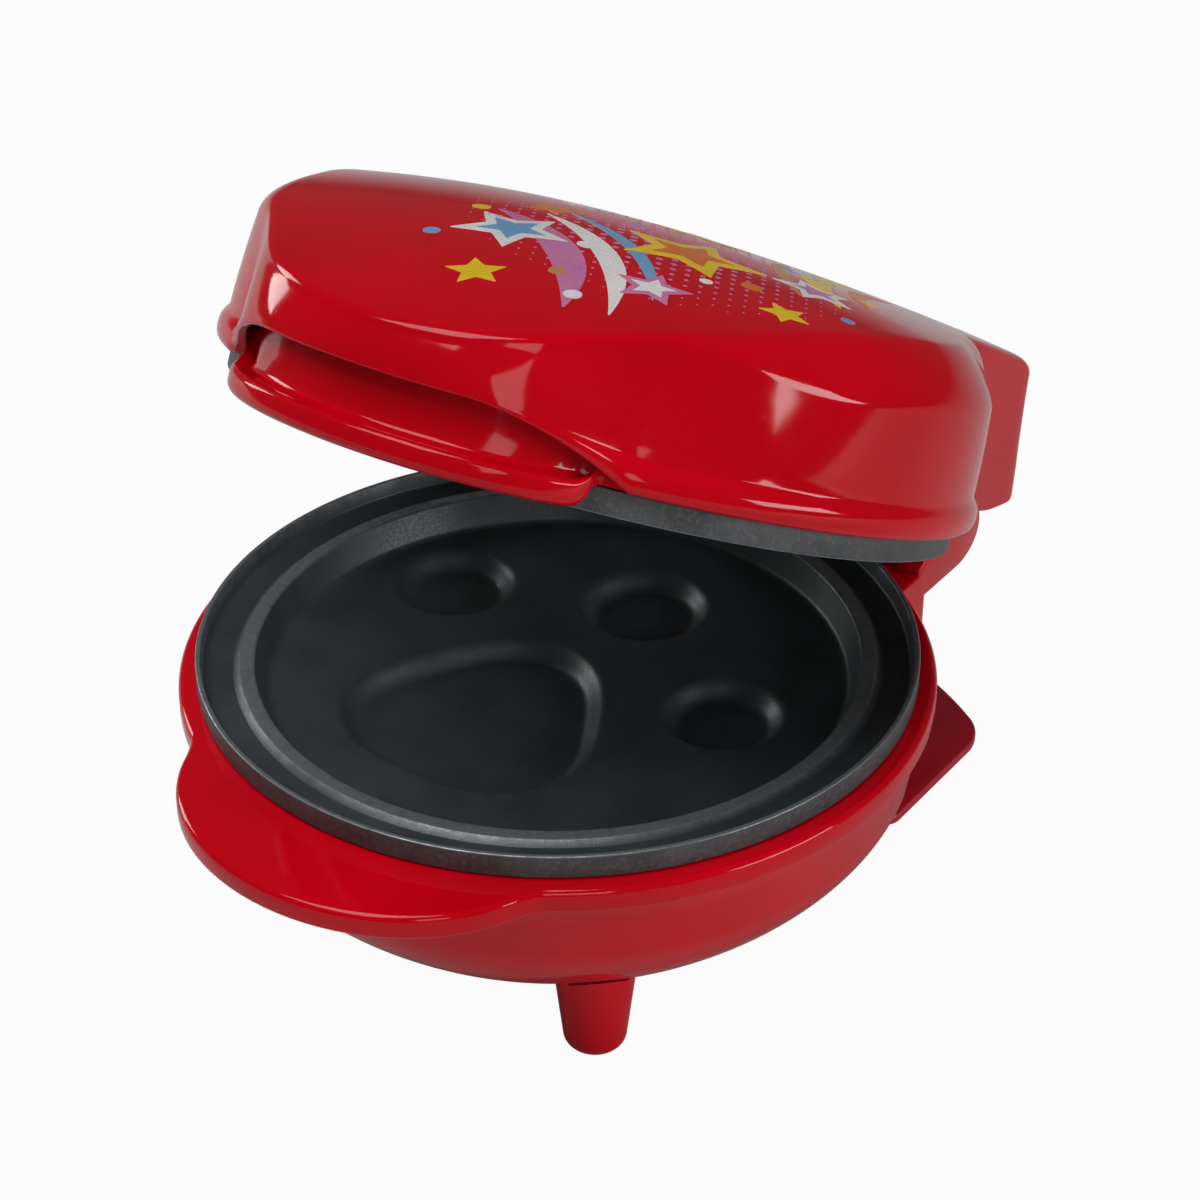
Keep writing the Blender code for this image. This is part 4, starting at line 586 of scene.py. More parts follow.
def makeCasing():
    foot, under = casing["foot"], casing["height"] - casing["flangeHeight"]
    rings = [casingRing(casing["bottomRadius"] - 0.7, foot), casingRing(casing["bottomRadius"] - 0.1, foot + 0.35)]
    for i in range(1, 19):
        height = 0.6 + (casing["turnHeight"] - 0.6) * i / 18
        rings.append(casingRing(bowlRadius(height), foot + height))
    rings += [casingRing(bowlRadius(height), foot + height) for height in (24, 28, under - 0.8)]
    rings.append(casingRing(casing["topRadius"] + 0.15, foot + under - 0.2))
    rings.append(casingRing(casing["topRadius"] + 0.4, foot + under))
    low, high, turn = flangeTop - casing["flangeHeight"], flangeTop, casing["edgeRound"]
    for step in range(5):
        t = math.pi / 2 * step / 4
        rings.append(flangeRing(0.8 * (1 - math.sin(t)), low + 0.8 * (1 - math.cos(t))))
    for step in range(7):
        t = math.pi / 2 * step / 6
        rings.append(flangeRing(turn * (1 - math.cos(t)), high - turn * (1 - math.sin(t))))
    rings.append(casingRing(casing["opening"] + 1.0, high))
    body = asObject("lowerCasing", skin(rings))

    back, corner = ears["pedestalBack"], ears["corner"]
    front = casing["bottomRadius"] - casing["wall"]
    base = foot + ears["pedestalBase"]
    plan = [(-ears["outer"], front), (ears["outer"], front)]
    for start, side in ((0, 1), (90, -1)):
        for i in range(9):
            t = math.radians(start + 90 * i / 8)
            plan.append((side * (ears["outer"] - corner) + corner * math.cos(t),
                         back - corner + corner * math.sin(t)))
    pedestal = asObject("pedestal", slab(plan, base, high - casing["edgeRound"]))
    slope = [(back - ears["slope"] - 2, base - 2), (back + 2, base - 2), (back + 2, base + ears["slope"] + 2)]
    shape(pedestal, "DIFFERENCE", slab(slope, -ears["outer"] - 2, ears["outer"] + 2, across=True))
    roundEdges(pedestal, 0.7, 35)
    shape(body, "UNION", pedestal)

    arc = [math.radians(-90 + 215 * i / 47) for i in range(48)]
    ear = [(hinge["back"] + ears["radius"] * math.cos(t),
            hinge["height"] + (ears["radius"] if t > 0 else ears["drop"]) * math.sin(t)) for t in arc]
    ear += [(back - ears["thickness"], high), (back - ears["thickness"], hinge["height"] - ears["drop"])]
    for side in (-1, 1):
        blank = asObject("ear", slab(ear, side * earInner, side * ears["outer"], across=True))
        roundEdges(blank, 0.6, 50)
        shape(body, "UNION", blank)

    inside = [casingRing(casing["bottomRadius"] - casing["wall"], foot - 2),
              casingRing(casing["bottomRadius"] - casing["wall"], foot + casing["wall"])]
    inside += [casingRing(bowlRadius(casing["turnHeight"] * s) - casing["wall"],
                          foot + casing["turnHeight"] * s + casing["wall"] / 2) for s in (0.25, 0.5, 0.75, 1)]
    ledge = high - casing["ledge"]
    inside += [casingRing(casing["topRadius"] - casing["wall"], ledge), casingRing(casing["opening"], ledge),
               casingRing(casing["opening"], high + 2)]
    hollow = [(front - 7, base + casing["wall"]), (back - ears["slope"] - 1.1, base + casing["wall"]),
              (back - casing["wall"], base + ears["slope"] + 1.1), (back - casing["wall"], ledge - casing["wall"]),
              (front - 7, ledge - casing["wall"])]
    shape(body, "DIFFERENCE", skin(inside),
          slab(hollow, -ears["outer"] + casing["wall"], ears["outer"] - casing["wall"], across=True))

    # moulding pockets under the handle
    step = 2 * casing["pocketAngle"] / (casing["ribs"] + 1)
    for i in range(casing["ribs"] + 1):
        outer, inner = [], []
        for share in [s / 12 for s in range(13)]:
            angle = -casing["pocketAngle"] + step * i + 0.7 + (step - 1.4) * share
            reach = handleFlange(angle % 360) - casing["wall"]
            for line, radius in ((outer, reach), (inner, casing["topRadius"] + 1.1)):
                point = around(angle, radius, 0)
                line.append((point.x, point.y))
        shape(body, "DIFFERENCE", slab(outer + inner[::-1], low - 2, high - casing["wall"]))
    for side in (-1, 1):
        shape(body, "DIFFERENCE", bar((side * (earInner - 2), hinge["back"], hinge["height"]),
                                      (side * (ears["outer"] - ears["seatFloor"]), hinge["back"], hinge["height"]),
                                      ears["pinBore"]))
    for x, height, radius in ((0, foot + gland["height"], gland["radius"] + gap),
                              (leadHole["side"], hinge["height"] - leadHole["drop"], leadHole["radius"])):
        shape(body, "DIFFERENCE", bar((x, back + 2, height), (x, back - 5, height), radius, 48))
    return finishPiece(body, baseSpace, "base", [glossRed], ["lower_casing"])


gland = {"height": 18.0, "radius": 5.2, "flange": 7.0, "thickness": 1.6, "bore": 3.4}


def makeGland():
    # a moulded rubber bush with a rounded flange
    wall = ears["pedestalBack"]
    face = wall + gap
    outer = face + gland["thickness"]
    inner = wall - casing["wall"]
    line = [(gland["bore"], inner), (gland["bore"], outer), (gland["flange"], outer),
            (gland["flange"], face), (gland["radius"], face), (gland["radius"], inner)]
    line = softCorners(line, [0, 0.5, 0.6, 0.2, 0, 0])
    rings = [[Vector((radius * math.cos(t), y, casing["foot"] + gland["height"] + radius * math.sin(t)))
              for t in (math.tau * i / 64 for i in range(64))] for radius, y in line]
    piece = asObject("cordGland", skin(rings, loop=True))
    return finishPiece(piece, baseSpace, "base", [blackRubber], ["cord_gland"])


makeCasing()
makeGland()

# Base plate with its wing, and the feet

basePlate = {"radius": 54.5, "thickness": 2.3, "wingHalfWidth": 59.5, "wingFront": 35.0, "wingRadius": 95.2,
             "corner": 11.5, "frontCorner": 4.0, "ventLength": 24.0, "ventWidth": 2.2, "ventPitch": 6.2, "vents": 5,
             "postDrop": 26.5}
feet = {"side": 35.385, "front": 37.419, "topRadius": 8.6, "tipRadius": 6.4, "round": 3.0, "spigot": 4.0,
        "collar": 2.4}
screwCircle = 29.0
screwAngles = (60, 180, 300)
baseTop = casing["foot"] - gap
baseUnder = baseTop - basePlate["thickness"]


def screwSpots():
    return [around(angle, screwCircle, 0).to_2d() for angle in screwAngles]


def makeBasePlate():
    plan = basePlate
    outline = []
    start = math.degrees(math.acos(-plan["wingFront"] / plan["radius"])) - 2
    for i in range(97):
        outline.append(around(-start + 2 * start * i / 96, plan["radius"], 0).to_2d())
    side = []
    cornerX = plan["wingHalfWidth"] - plan["corner"]
    cornerY = math.sqrt((plan["wingRadius"] - plan["corner"]) ** 2 - cornerX ** 2)
    turnedIn = 90 - math.degrees(math.atan2(cornerX, cornerY))
    small = plan["frontCorner"]
    for x, y, low, high, radius in ((plan["wingHalfWidth"] - small, plan["wingFront"] + small, -90, 0, small),
                                    (cornerX, cornerY, 0, turnedIn, plan["corner"])):
        for i in range(17):
            t = math.radians(between(low, high, i / 16))
            side.append((x + radius * math.cos(t), y + radius * math.sin(t)))
    for i in range(1, 20):
        t = math.radians(between(turnedIn, 90, i / 20))
        side.append((plan["wingRadius"] * math.cos(t), plan["wingRadius"] * math.sin(t)))
    outline += side + [(0, plan["wingRadius"])] + [(-x, y) for x, y in reversed(side)]
    piece = asObject("basePlate", slab(outline, baseUnder, baseTop))
    roundEdges(piece, 0.6, 40)
    low, high = baseUnder - 2, baseTop + 2
    for spot in footSpots.values():
        shape(piece, "DIFFERENCE", lathe([(feet["spigot"] + 0.3, low), (feet["spigot"] + 0.3, high)], 40, spot))
    postTop = rimHeight - plan["postDrop"]
    for spot in screwSpots():
        shape(piece, "UNION", lathe(softCorners([(4.2, baseUnder), (4.2, postTop), (3.0, postTop)], [0, 0.5, 0]),
                                    40, spot))
        shape(piece, "DIFFERENCE", lathe([(screw["bore"], low), (screw["bore"], postTop + 2)], 32, spot),
              lathe([(screw["head"], low), (screw["head"], baseUnder + screw["headDepth"])], 40, spot))
    for i in range(plan["vents"]):
        x = plan["ventPitch"] * (i - (plan["vents"] - 1) / 2)
        half, reach = plan["ventWidth"] / 2, plan["ventLength"] / 2 - plan["ventWidth"] / 2
        slot = [(x + half * math.cos(t), reach + half * math.sin(t)) for t in (math.pi * k / 12 for k in range(13))]
        slot += [(x - half * math.cos(t), -reach - half * math.sin(t)) for t in (math.pi * k / 12 for k in range(13))]
        shape(piece, "DIFFERENCE", slab(slot, low, high))
    return finishPiece(piece, baseSpace, "base", [satinRed], ["base_plate"])


footSpots = {
    "FrontLeft": (-feet["side"], -feet["front"]), "FrontRight": (feet["side"], -feet["front"]),
    "BackLeft": (-feet["side"], feet["front"]), "BackRight": (feet["side"], feet["front"]),
}


def makeFoot(name, spot):
    inFront = spot[1] < 0
    top = casing["foot"] + feet["collar"] if inFront else baseUnder - gap
    tip, turn = feet["tipRadius"], feet["round"]
    line = [(0, 0)] + [(tip - turn + turn * math.sin(t), turn - turn * math.cos(t))
                       for t in (math.radians(a) for a in range(0, 91, 9))]
    line += [(between(tip, feet["topRadius"], s), between(turn, top, s)) for s in (0.25, 0.5, 0.75, 0.97)]
    line += [(feet["topRadius"], top), (0, top)]
    piece = asObject("foot" + name, lathe(line, 72, spot))
    if inFront:
        bowl = [(casing["bottomRadius"] + gap, casing["foot"] - gap)]
        bowl += [(bowlRadius(casing["turnHeight"] * s) + 0.5, casing["foot"] + casing["turnHeight"] * s)
                 for s in (0, 0.08, 0.16, 0.25, 0.4, 0.5)]
        under = [(basePlate["radius"] + 0.6, baseUnder - 0.3), (basePlate["radius"] + 0.6, casing["foot"])]
        shape(piece, "DIFFERENCE", lathe(bowl, 180), lathe(under, 180))
    shape(piece, "UNION", lathe([(feet["spigot"], baseUnder - 2), (feet["spigot"], baseTop)], 40, spot))
    node = "foot_front_" if inFront else "foot_back_"
    node += "left" if spot[0] < 0 else "right"
    return finishPiece(piece, baseSpace, "base", [glossRed], [node])


makeBasePlate()
for name, spot in footSpots.items():
    makeFoot(name, spot)

# Cooking plates: one casting, used twice

plateCast = {"radius": 72.8, "edgeHeight": 4.8, "edgeWidth": 2.8, "rimWidth": 1.0, "grooveDepth": 3.6,
             "grooveWidth": 6.3, "grooveSlope": 0.8, "beadFoot": 1.5, "beadWidth": 2.8, "beadDepth": 2.6,
             "cavityDepth": 9.0, "draft": 2.5, "thickness": 8.0, "shelfDepth": 6.6, "shelfWidth": 4.5,
             "panTaper": 5.0, "padDepth": 3.6, "padDraft": 4.5, "elementRadius": 42.0, "tube": 3.2,
             "channel": 2.6, "bossRadius": 4.2, "bossLength": 7.0, "sheet": 0.8, "gap": 0.6, "segments": 256}
# middle and radius as shares of the cavity floor: the broad pad, then three round ones
pads = [(-0.08, -0.34, 0.455, 2.2), (-0.65, 0.26, 0.23, 0), (0.0, 0.53, 0.24, 0), (0.60, 0.12, 0.22, 0)]


def padDepth(x, y, floorRadius):
    # how far the cavity's floor sinks at a point
    depth = 0.0
    for padX, padY, size, swell in pads:
        dx, dy = x - padX * floorRadius, y - padY * floorRadius
        reach = size * floorRadius - swell * math.sin(3 * math.atan2(dy, dx))
        inside = (reach - math.hypot(dx, dy)) / plateCast["padDraft"]
        depth = max(depth, plateCast["padDepth"] * ease(inside * 1.02))
    return depth


def makePlate(name, rim, down, space, body, node):
    cast = plateCast
    depthTotal = cast["cavityDepth"] + cast["thickness"]
    rimInner = cast["radius"] - cast["rimWidth"]
    grooveInner = rimInner - cast["grooveWidth"]
    beadOuter = grooveInner - cast["beadFoot"]
    beadInner = beadOuter - cast["beadWidth"]
    floorRadius = beadInner - cast["draft"]
    bodyRadius = cast["radius"] - cast["edgeWidth"]
    pan = bodyRadius - cast["shelfWidth"]
    channelIn = cast["elementRadius"] - cast["tube"] - 0.3
    channelOut = cast["elementRadius"] + cast["tube"] + 0.3
    corners = [
        (floorRadius - 3.0, cast["cavityDepth"], 0), (floorRadius, cast["cavityDepth"], 1.6),
        (beadInner, cast["beadDepth"], 0.8), (beadOuter, cast["beadDepth"], 0.8),
        (grooveInner, cast["grooveDepth"], 0.6), (rimInner - cast["grooveSlope"], cast["grooveDepth"], 0.9),
        (rimInner, 0, 0.3), (cast["radius"], 0, 0.4), (cast["radius"], cast["edgeHeight"], 0.3),
        (bodyRadius, cast["edgeHeight"], 0), (bodyRadius, cast["shelfDepth"], 0.3),
        (pan, cast["shelfDepth"] + cast["grooveSlope"], 0.8), (pan - cast["panTaper"], depthTotal, 1.0),
        (channelOut, depthTotal, 0), (channelOut, depthTotal - cast["channel"], 0),
        (channelIn, depthTotal - cast["channel"], 0), (channelIn, depthTotal, 0), (0, depthTotal, 0),
    ]
    line = softCorners([c[:2] for c in corners], [c[2] for c in corners], 5)
    angles = evenAngles(cast["segments"])
    rings = [[Vector((0, 0, cast["cavityDepth"] + padDepth(0, 0, floorRadius)))]]
    radius = 0.9
    while radius < floorRadius - 3.1:
        ring = [around(angle, radius, 0) for angle in angles]
        for point in ring:
            point.z = cast["cavityDepth"] + padDepth(point.x, point.y, floorRadius)
        rings.append(ring)
        radius += 0.75
    rings += [[around(angle, r, z) for angle in angles] if r > 0 else [Vector((0, 0, z))] for r, z in line]
    for ring in rings:
        for point in ring:
            point.z = rim + down * point.z
    piece = asObject(name, skin(rings))
    for spot in screwSpots():
        ends = sorted((rim + down * (depthTotal - 1), rim + down * (depthTotal + cast["bossLength"])))
        shape(piece, "UNION", lathe([(cast["bossRadius"], ends[0]), (cast["bossRadius"], ends[1])], 40, spot))
        bore = sorted((rim + down * (depthTotal + cast["bossLength"] - 4.8),
                       rim + down * (depthTotal + cast["bossLength"] + 2)))
        shape(piece, "DIFFERENCE", lathe([(screw["bore"], bore[0]), (screw["bore"], bore[1])], 32, spot))
    mesh = piece.data
    # painted highlight mask: high on the rim's top edge and along both edges of the bead, where the coating is
    # painted lighter
    rubbedAndHighlight = mesh.attributes.new("rubbedAndHighlight", "FLOAT", "POINT")
    side = mesh.attributes.new("side", "FLOAT", "POINT")
    for index, vertex in enumerate(mesh.vertices):
        r, depth = math.hypot(vertex.co.x, vertex.co.y), (vertex.co.z - rim) * down
        onRim = ease(1 - depth / 0.5) if r > rimInner - 0.3 else 0
        edge = min(abs(r - beadInner - 0.3), abs(r - beadOuter + 0.3))
        onBead = ease(1 - (depth - cast["beadDepth"]) / 0.6) * ease(1.2 - edge / 0.7) if edge < 0.9 else 0
        rubbedAndHighlight.data[index].value = max(onRim, onBead)
        side.data[index].value = 1.0 if r > cast["radius"] - 0.05 else 0.0
    made = finishPiece(piece, space, body, [nonStick, litCastEdge], [node])
    for face in made.data.polygons:
        if all(side.data[v].value > 0.5 for v in face.vertices):
            face.material_index = 1
    return made


upperRim = rimHeight + plateCast["gap"]
makePlate("lowerPlate", rimHeight, -1, baseSpace, "base", "lower_plate")
makePlate("upperPlate", upperRim, 1, lidSpace, "lid", "upper_plate")

# Lid housing: the red lower half of the lid, with the finger recess under the cover's skirt

lidCoverPlan = {"radius": 74.9, "wall": 1.4, "notch": 7.0, "lipRadius": 76.4, "lipHeight": 6.6, "skirtLift": 10.0,
                "skirtReach": 36.5, "skirtSpread": 21.0, "skirtEdge": 1.6, "blockHalfWidth": 50.4, "blockBack": 94.8,
                "blockLean": 4.7, "blockCorner": 4.0, "blockDrop": 3.0, "heelRise": 3.0, "tip": 24.0, "peak": 46.5,
                "backHeight": 38.3, "sideFall": 7.8, "shoulderFront": 1.5, "shoulderSide": 9.5, "shoulderBlock": 3.4,
                "draft": 1.2}
housing = {"radius": 73.0, "wall": 2.0, "rimHeight": 6.0, "lobeDrop": 4.6, "lobeFloor": 3.6, "lobeWall": 1.6,
           "lobeRound": 1.6, "traySlope": 2.4, "ledge": 5.0, "recess": 4.7, "wallHeight": 12.5, "deck": 4.2,
           "dishFoot": 69.2, "dishRadius": 62.0, "armTop": 8.5, "armFront": 64.5, "elbow": 3.0,
           "knuckle": 7.6, "knuckleWidth": 7.8, "heel": 11.4, "opening": 0.6}
lipLevel = upperRim + plateCast["edgeHeight"] + gap
deckLevel = lipLevel + housing["deck"]
lobeLevel = lipLevel - housing["lobeDrop"]
ledgeLevel = lobeLevel + housing["ledge"]
trayLevel = lobeLevel + housing["lobeFloor"]
dishTop = upperRim + plateCast["cavityDepth"] + plateCast["thickness"] + plateCast["bossLength"]
dishTop += gap + plateCast["sheet"] + gap + housing["wall"]
coverCorner = 180 - math.degrees(math.asin(lidCoverPlan["blockHalfWidth"] / lidCoverPlan["radius"]))
blockCorner = 180 - math.degrees(math.atan2(lidCoverPlan["blockHalfWidth"], lidCoverPlan["blockBack"]))
lidAngles = twoSided([(0, 14, 8), (14, 46, 48), (46, 132, 44), (132, coverCorner, 8), (coverCorner, 146, 10),
                      (146, 157, 26), (157, 180, 10)])
handleScrews = [(-9.5, -77.2), (9.5, -77.2)]


def lobeShare(angle):
    return ease((lobeReach(angle, lidLobe) - lidCoverPlan["radius"]) / 3.5 + 0.5)


def endRise(proud):
    # the lobe's underside rises in a round where the lobe meets the body
    share = min(max(proud / 3.4, 0.0), 1.0)
    return math.sqrt(1 - (1 - share) ** 2)


def housingRing(radius, height, lobeHeight=None, inset=None, lobeRadius=None):
    points = []
    for angle in lidAngles:
        share = lobeShare(angle)
        onLobe = lobeRadius or radius
        if inset is not None:
            onLobe = max(handleOutline(angle, lidLobe, lidCoverPlan["radius"], 3.5) - inset, onLobe)
        proud = lobeReach(angle, lidLobe) - lidCoverPlan["radius"]
        level = between(height, height if lobeHeight is None else lobeHeight, min(share * share, endRise(proud)))
        points.append(around(angle, between(radius, onLobe, share), level))
    return points


def trayRing(step, height):
    points = []
    for angle in lidAngles:
        outline = handleOutline(angle, lidLobe, lidCoverPlan["radius"], 3.5)
        inside = max(outline - housing["recess"] - housing["lobeWall"], housing["radius"] - housing["wall"])
        edge = plateCast["radius"] + housing["opening"] + housing["lobeWall"]
        radius = inside if step == 2 else min(edge + step * 0.3, inside - (2 - step) * 0.3)
        share = ease((inside - edge) / housing["traySlope"])
        points.append(around(angle, radius, between(deckLevel + step * 0.3, height, share)))
    return points


def makeHousing():
    wallTop = ledgeLevel + housing["wallHeight"]
    rimTop = lipLevel + housing["rimHeight"]
    radius, turn, recess = housing["radius"], housing["lobeRound"], housing["recess"]
    plateSide = plateCast["radius"] + housing["opening"]
    bodySide = 70.0 + housing["opening"]

    def side(share):
        return between(rimTop, lipLevel, share)

    rings = [
        [Vector((0, 0, dishTop))],
        housingRing(housing["dishRadius"] * 0.5, dishTop),
        housingRing(housing["dishRadius"] - 0.8, dishTop),
        housingRing(housing["dishRadius"] + 0.4, dishTop - 1.0),
        housingRing(housing["dishFoot"] - 0.6, deckLevel + 0.9),
        housingRing(housing["dishFoot"], deckLevel),
        trayRing(0, deckLevel), trayRing(1, trayLevel), trayRing(2, trayLevel),
        housingRing(radius - housing["wall"], rimTop, wallTop, recess + housing["lobeWall"]),
        housingRing(radius - 0.3, rimTop, wallTop, recess + 0.3),
        housingRing(radius, side(0.05), wallTop - 0.3, recess),
    ]
    rings += [housingRing(radius, side(0.1 + 0.1 * s), between(wallTop - 0.3, ledgeLevel + 1.2, s), recess)
              for s in (0.33, 0.66, 1.0)]
    # concave foot of the recess wall, the ledge, its rounded edge, the side and the rounded underside
    for s in (0.35, 0.7, 1.0):
        t = s * math.pi / 2
        rings.append(housingRing(radius, side(0.2 + 0.05 * s), ledgeLevel + 1.2 * (1 - math.sin(t)),
                                 recess - 1.2 * (1 - math.cos(t))))
    rings.append(housingRing(radius, side(0.3), ledgeLevel, 1.9))
    for s in range(7):
        t = s * math.pi / 12
        rings.append(housingRing(radius, side(0.35 + 0.02 * s), ledgeLevel - 1.2 * (1 - math.cos(t)),
                                 1.2 * (1 - math.sin(t))))
    for s in range(9):
        t = s * math.pi / 16
        rings.append(housingRing(radius, side(0.7 + 0.035 * s), lobeLevel + 2.2 * (1 - math.sin(t)),
                                 2.2 * (1 - math.cos(t))))
    rings += [
        housingRing(radius, lipLevel, lobeLevel, turn + 0.7),
        housingRing(radius - 0.1, lipLevel, lobeLevel, lobeRadius=plateSide + 0.4),
        housingRing(radius - 0.12, lipLevel, lobeLevel + 0.4, lobeRadius=plateSide),
        housingRing(radius - 0.2, lipLevel, lipLevel, lobeRadius=plateSide - 0.3),
        housingRing(bodySide, lipLevel),
        housingRing(bodySide, deckLevel - housing["wall"]),
        housingRing(housing["dishFoot"] - housing["wall"], deckLevel - housing["wall"]),
        housingRing(housing["dishRadius"] - housing["wall"], dishTop - housing["wall"]),
        [Vector((0, 0, dishTop - housing["wall"]))],
    ]
    piece = asObject("lidHousing", skin(rings))

    arm = []
    for i in range(48):
        t = math.radians(200 + 235 * i / 47)
        heel = ease((15 - abs(math.degrees(t) - 272)) / 5)
        reach = between(housing["knuckle"], housing["heel"], heel)
        arm.append((hinge["back"] + reach * math.cos(t), hinge["height"] + reach * math.sin(t)))
    front, elbow = housing["armFront"], housing["elbow"]
    arm += [(front + 3 * elbow, lipLevel + housing["armTop"]), (front, lipLevel + housing["armTop"]),
            (front, lipLevel + 0.3), (front + elbow, lipLevel + 0.3)]
    knuckleOuter = earInner - gap
    for sign in (-1, 1):
        blank = asObject("knuckle", slab(arm, sign * (knuckleOuter - housing["knuckleWidth"]), sign * knuckleOuter,
                                         across=True))
        roundEdges(blank, 0.5, 50)
        shape(piece, "UNION", blank)
        shape(piece, "DIFFERENCE", bar((sign * (knuckleOuter - housing["knuckleWidth"] - 2), *hingeSpot[1:]),
                                       (sign * (knuckleOuter + 2), *hingeSpot[1:]), ears["pinBore"]))
    for spot in screwSpots():
        through = [(screw["bore"], dishTop - housing["wall"] - 2), (screw["bore"], dishTop + 2)]
        shape(piece, "DIFFERENCE", lathe(through, 32, spot))
    for spot in handleScrews:
        shape(piece, "DIFFERENCE", lathe([(screw["bore"], lobeLevel - 2), (screw["bore"], trayLevel + 2)], 32, spot),
              lathe([(screw["head"], lobeLevel - 2), (screw["head"], lobeLevel + screw["headDepth"])], 40, spot))
    return finishPiece(piece, lidSpace, "lid", [glossRed], ["lid_housing"])


# Lid cover: the glossy shell with its hanging skirt, rounded lip and square block over the hinge

def blockReach(angle, back, inset):
    turn = math.radians(angle)
    ahead = -math.cos(turn)
    if ahead <= 0:
        return 0.0
    side = (lidCoverPlan["blockHalfWidth"] - inset) / max(abs(math.sin(turn)), 0.01745)
    return -softMax(-side, -(back - inset) / ahead, lidCoverPlan["blockCorner"])


def coverOutline(angle, back, inset=0.0):
    body = handleOutline(angle, lidLobe, lidCoverPlan["radius"], lidCoverPlan["notch"], inset)
    if offFront(angle) < 90:
        return body
    return softMax(blockReach(angle, back, inset), body, 0.6)


def coverTop(x, y):
    plan = lidCoverPlan
    if y < 0:
        share = -y / (lobeMiddle + lidLobe["halfLength"])
        height = between(plan["peak"], plan["tip"], share ** 2.1)
    else:
        share = y / (plan["blockBack"] - plan["blockLean"])
        height = between(plan["peak"], plan["backHeight"], share ** 1.3)
    return rimHeight + height - plan["sideFall"] * (x / plan["radius"]) ** 2


def liftedShare(angle):
    share = min(max((lidCoverPlan["skirtReach"] - offFront(angle)) / lidCoverPlan["skirtSpread"], 0.0), 1.0)
    return 1 - (1 - share) ** 1.6


def droppedShare(angle):
    return ease((offFront(angle) - coverCorner) / 2)


def lipShare(angle):
    return (1 - liftedShare(angle)) ** 1.5 * (1 - droppedShare(angle))


def skirtLevel(angle):
    plan = lidCoverPlan
    heel = plan["heelRise"] * ease((offFront(angle) - blockCorner + 4) / 6)
    return lipLevel + plan["skirtLift"] * liftedShare(angle) - plan["blockDrop"] * droppedShare(angle) + heel


def lipRing(heightShare, flareShare):
    plan = lidCoverPlan
    points = []
    for angle in lidAngles:
        lip = lipShare(angle)
        radius = coverOutline(angle, plan["blockBack"]) + (plan["lipRadius"] - plan["radius"]) * flareShare * lip
        radius -= 0.5 * (1 - lip) * (1 - min(heightShare / 0.3, 1)) ** 2
        rise = between(plan["skirtEdge"], plan["lipHeight"], lip) * heightShare
        points.append(around(angle, radius, skirtLevel(angle) + rise))
    return points


def fairReach(angle, back, inset):
    # the crown's outline passes straight over the notch between lobe and body
    if offFront(angle) > 84:
        return coverOutline(angle, back, inset)
    total = weight = 0.0
    for step in range(-6, 7):
        share = 1 + math.cos(math.pi * step / 7)
        total += share * coverOutline((angle + step * 2.2) % 360, back, inset)
        weight += share
    return total / weight


def roundTheLid(angle, front, side, block):
    # one value over the handle, one on the sides and one on the block, with soft changes between
    away = offFront(angle)
    return between(between(front, side, ease((away - 34) / 34)), block, ease((away - 118) / 24))


def shoulderSize(angle):
    plan = lidCoverPlan
    return roundTheLid(angle, plan["shoulderFront"], plan["shoulderSide"], plan["shoulderBlock"])


def coverRing(heightShare, inset):
    plan = lidCoverPlan
    points = []
    for angle in lidAngles:
        size = shoulderSize(angle)
        top = shoulderFoot(angle, inset)
        low = skirtLevel(angle)
        if inset == 0:
            low += between(plan["skirtEdge"], plan["lipHeight"], lipShare(angle))
        level = between(low, top.z, heightShare)
        lean = plan["blockLean"] * max(level - lipLevel, 0) / (top.z + size - lipLevel)
        lower = coverOutline(angle, plan["blockBack"] - lean, inset)
        upper = math.hypot(top.x, top.y)
        points.append(around(angle, between(lower, upper, heightShare ** 1.5), level))
    return points


def shoulderFoot(angle, inset):
    plan = lidCoverPlan
    back = plan["blockBack"] - plan["blockLean"]
    radius = min(fairReach(angle, back, inset + plan["draft"]), coverOutline(angle, back, inset))
    spot = around(angle, radius, 0)
    spot.z = coverTop(spot.x, spot.y) - inset - shoulderSize(angle)
    return spot


def crownEdge(angle, inset):
    plan = lidCoverPlan
    back = plan["blockBack"] - plan["blockLean"]
    spot = around(angle, fairReach(angle, back, inset + plan["draft"] + shoulderSize(angle)), 0)
    spot.z = coverTop(spot.x, spot.y) - inset
    return spot


def shoulderRing(share, inset):
    # a round from the wall's top to the crown's edge, tangent to both
    points = []
    for angle in lidAngles:
        low, high = shoulderFoot(angle, inset), crownEdge(angle, inset)
        knee = Vector((low.x, low.y, coverTop(low.x, low.y) - inset))
        pull = roundTheLid(angle, 1.0, 0.3, 1.0)
        weights = ((1 - share) ** 2, 2 * pull * share * (1 - share), share ** 2)
        points.append((low * weights[0] + knee * weights[1] + high * weights[2]) / sum(weights))
    return points


def crownRing(share, inset):
    points = []
    for angle in lidAngles:
        edge = crownEdge(angle, inset)
        x, y = edge.x * share, edge.y * share
        points.append(Vector((x, y, coverTop(x, y) - inset)))
    return points


lipLine = [(0.0, 0.3), (0.05, 0.58), (0.11, 0.79), (0.19, 0.93), (0.29, 0.99), (0.4, 1.0), (0.52, 0.96),
           (0.63, 0.84), (0.72, 0.64), (0.8, 0.4), (0.88, 0.18), (0.95, 0.05)]


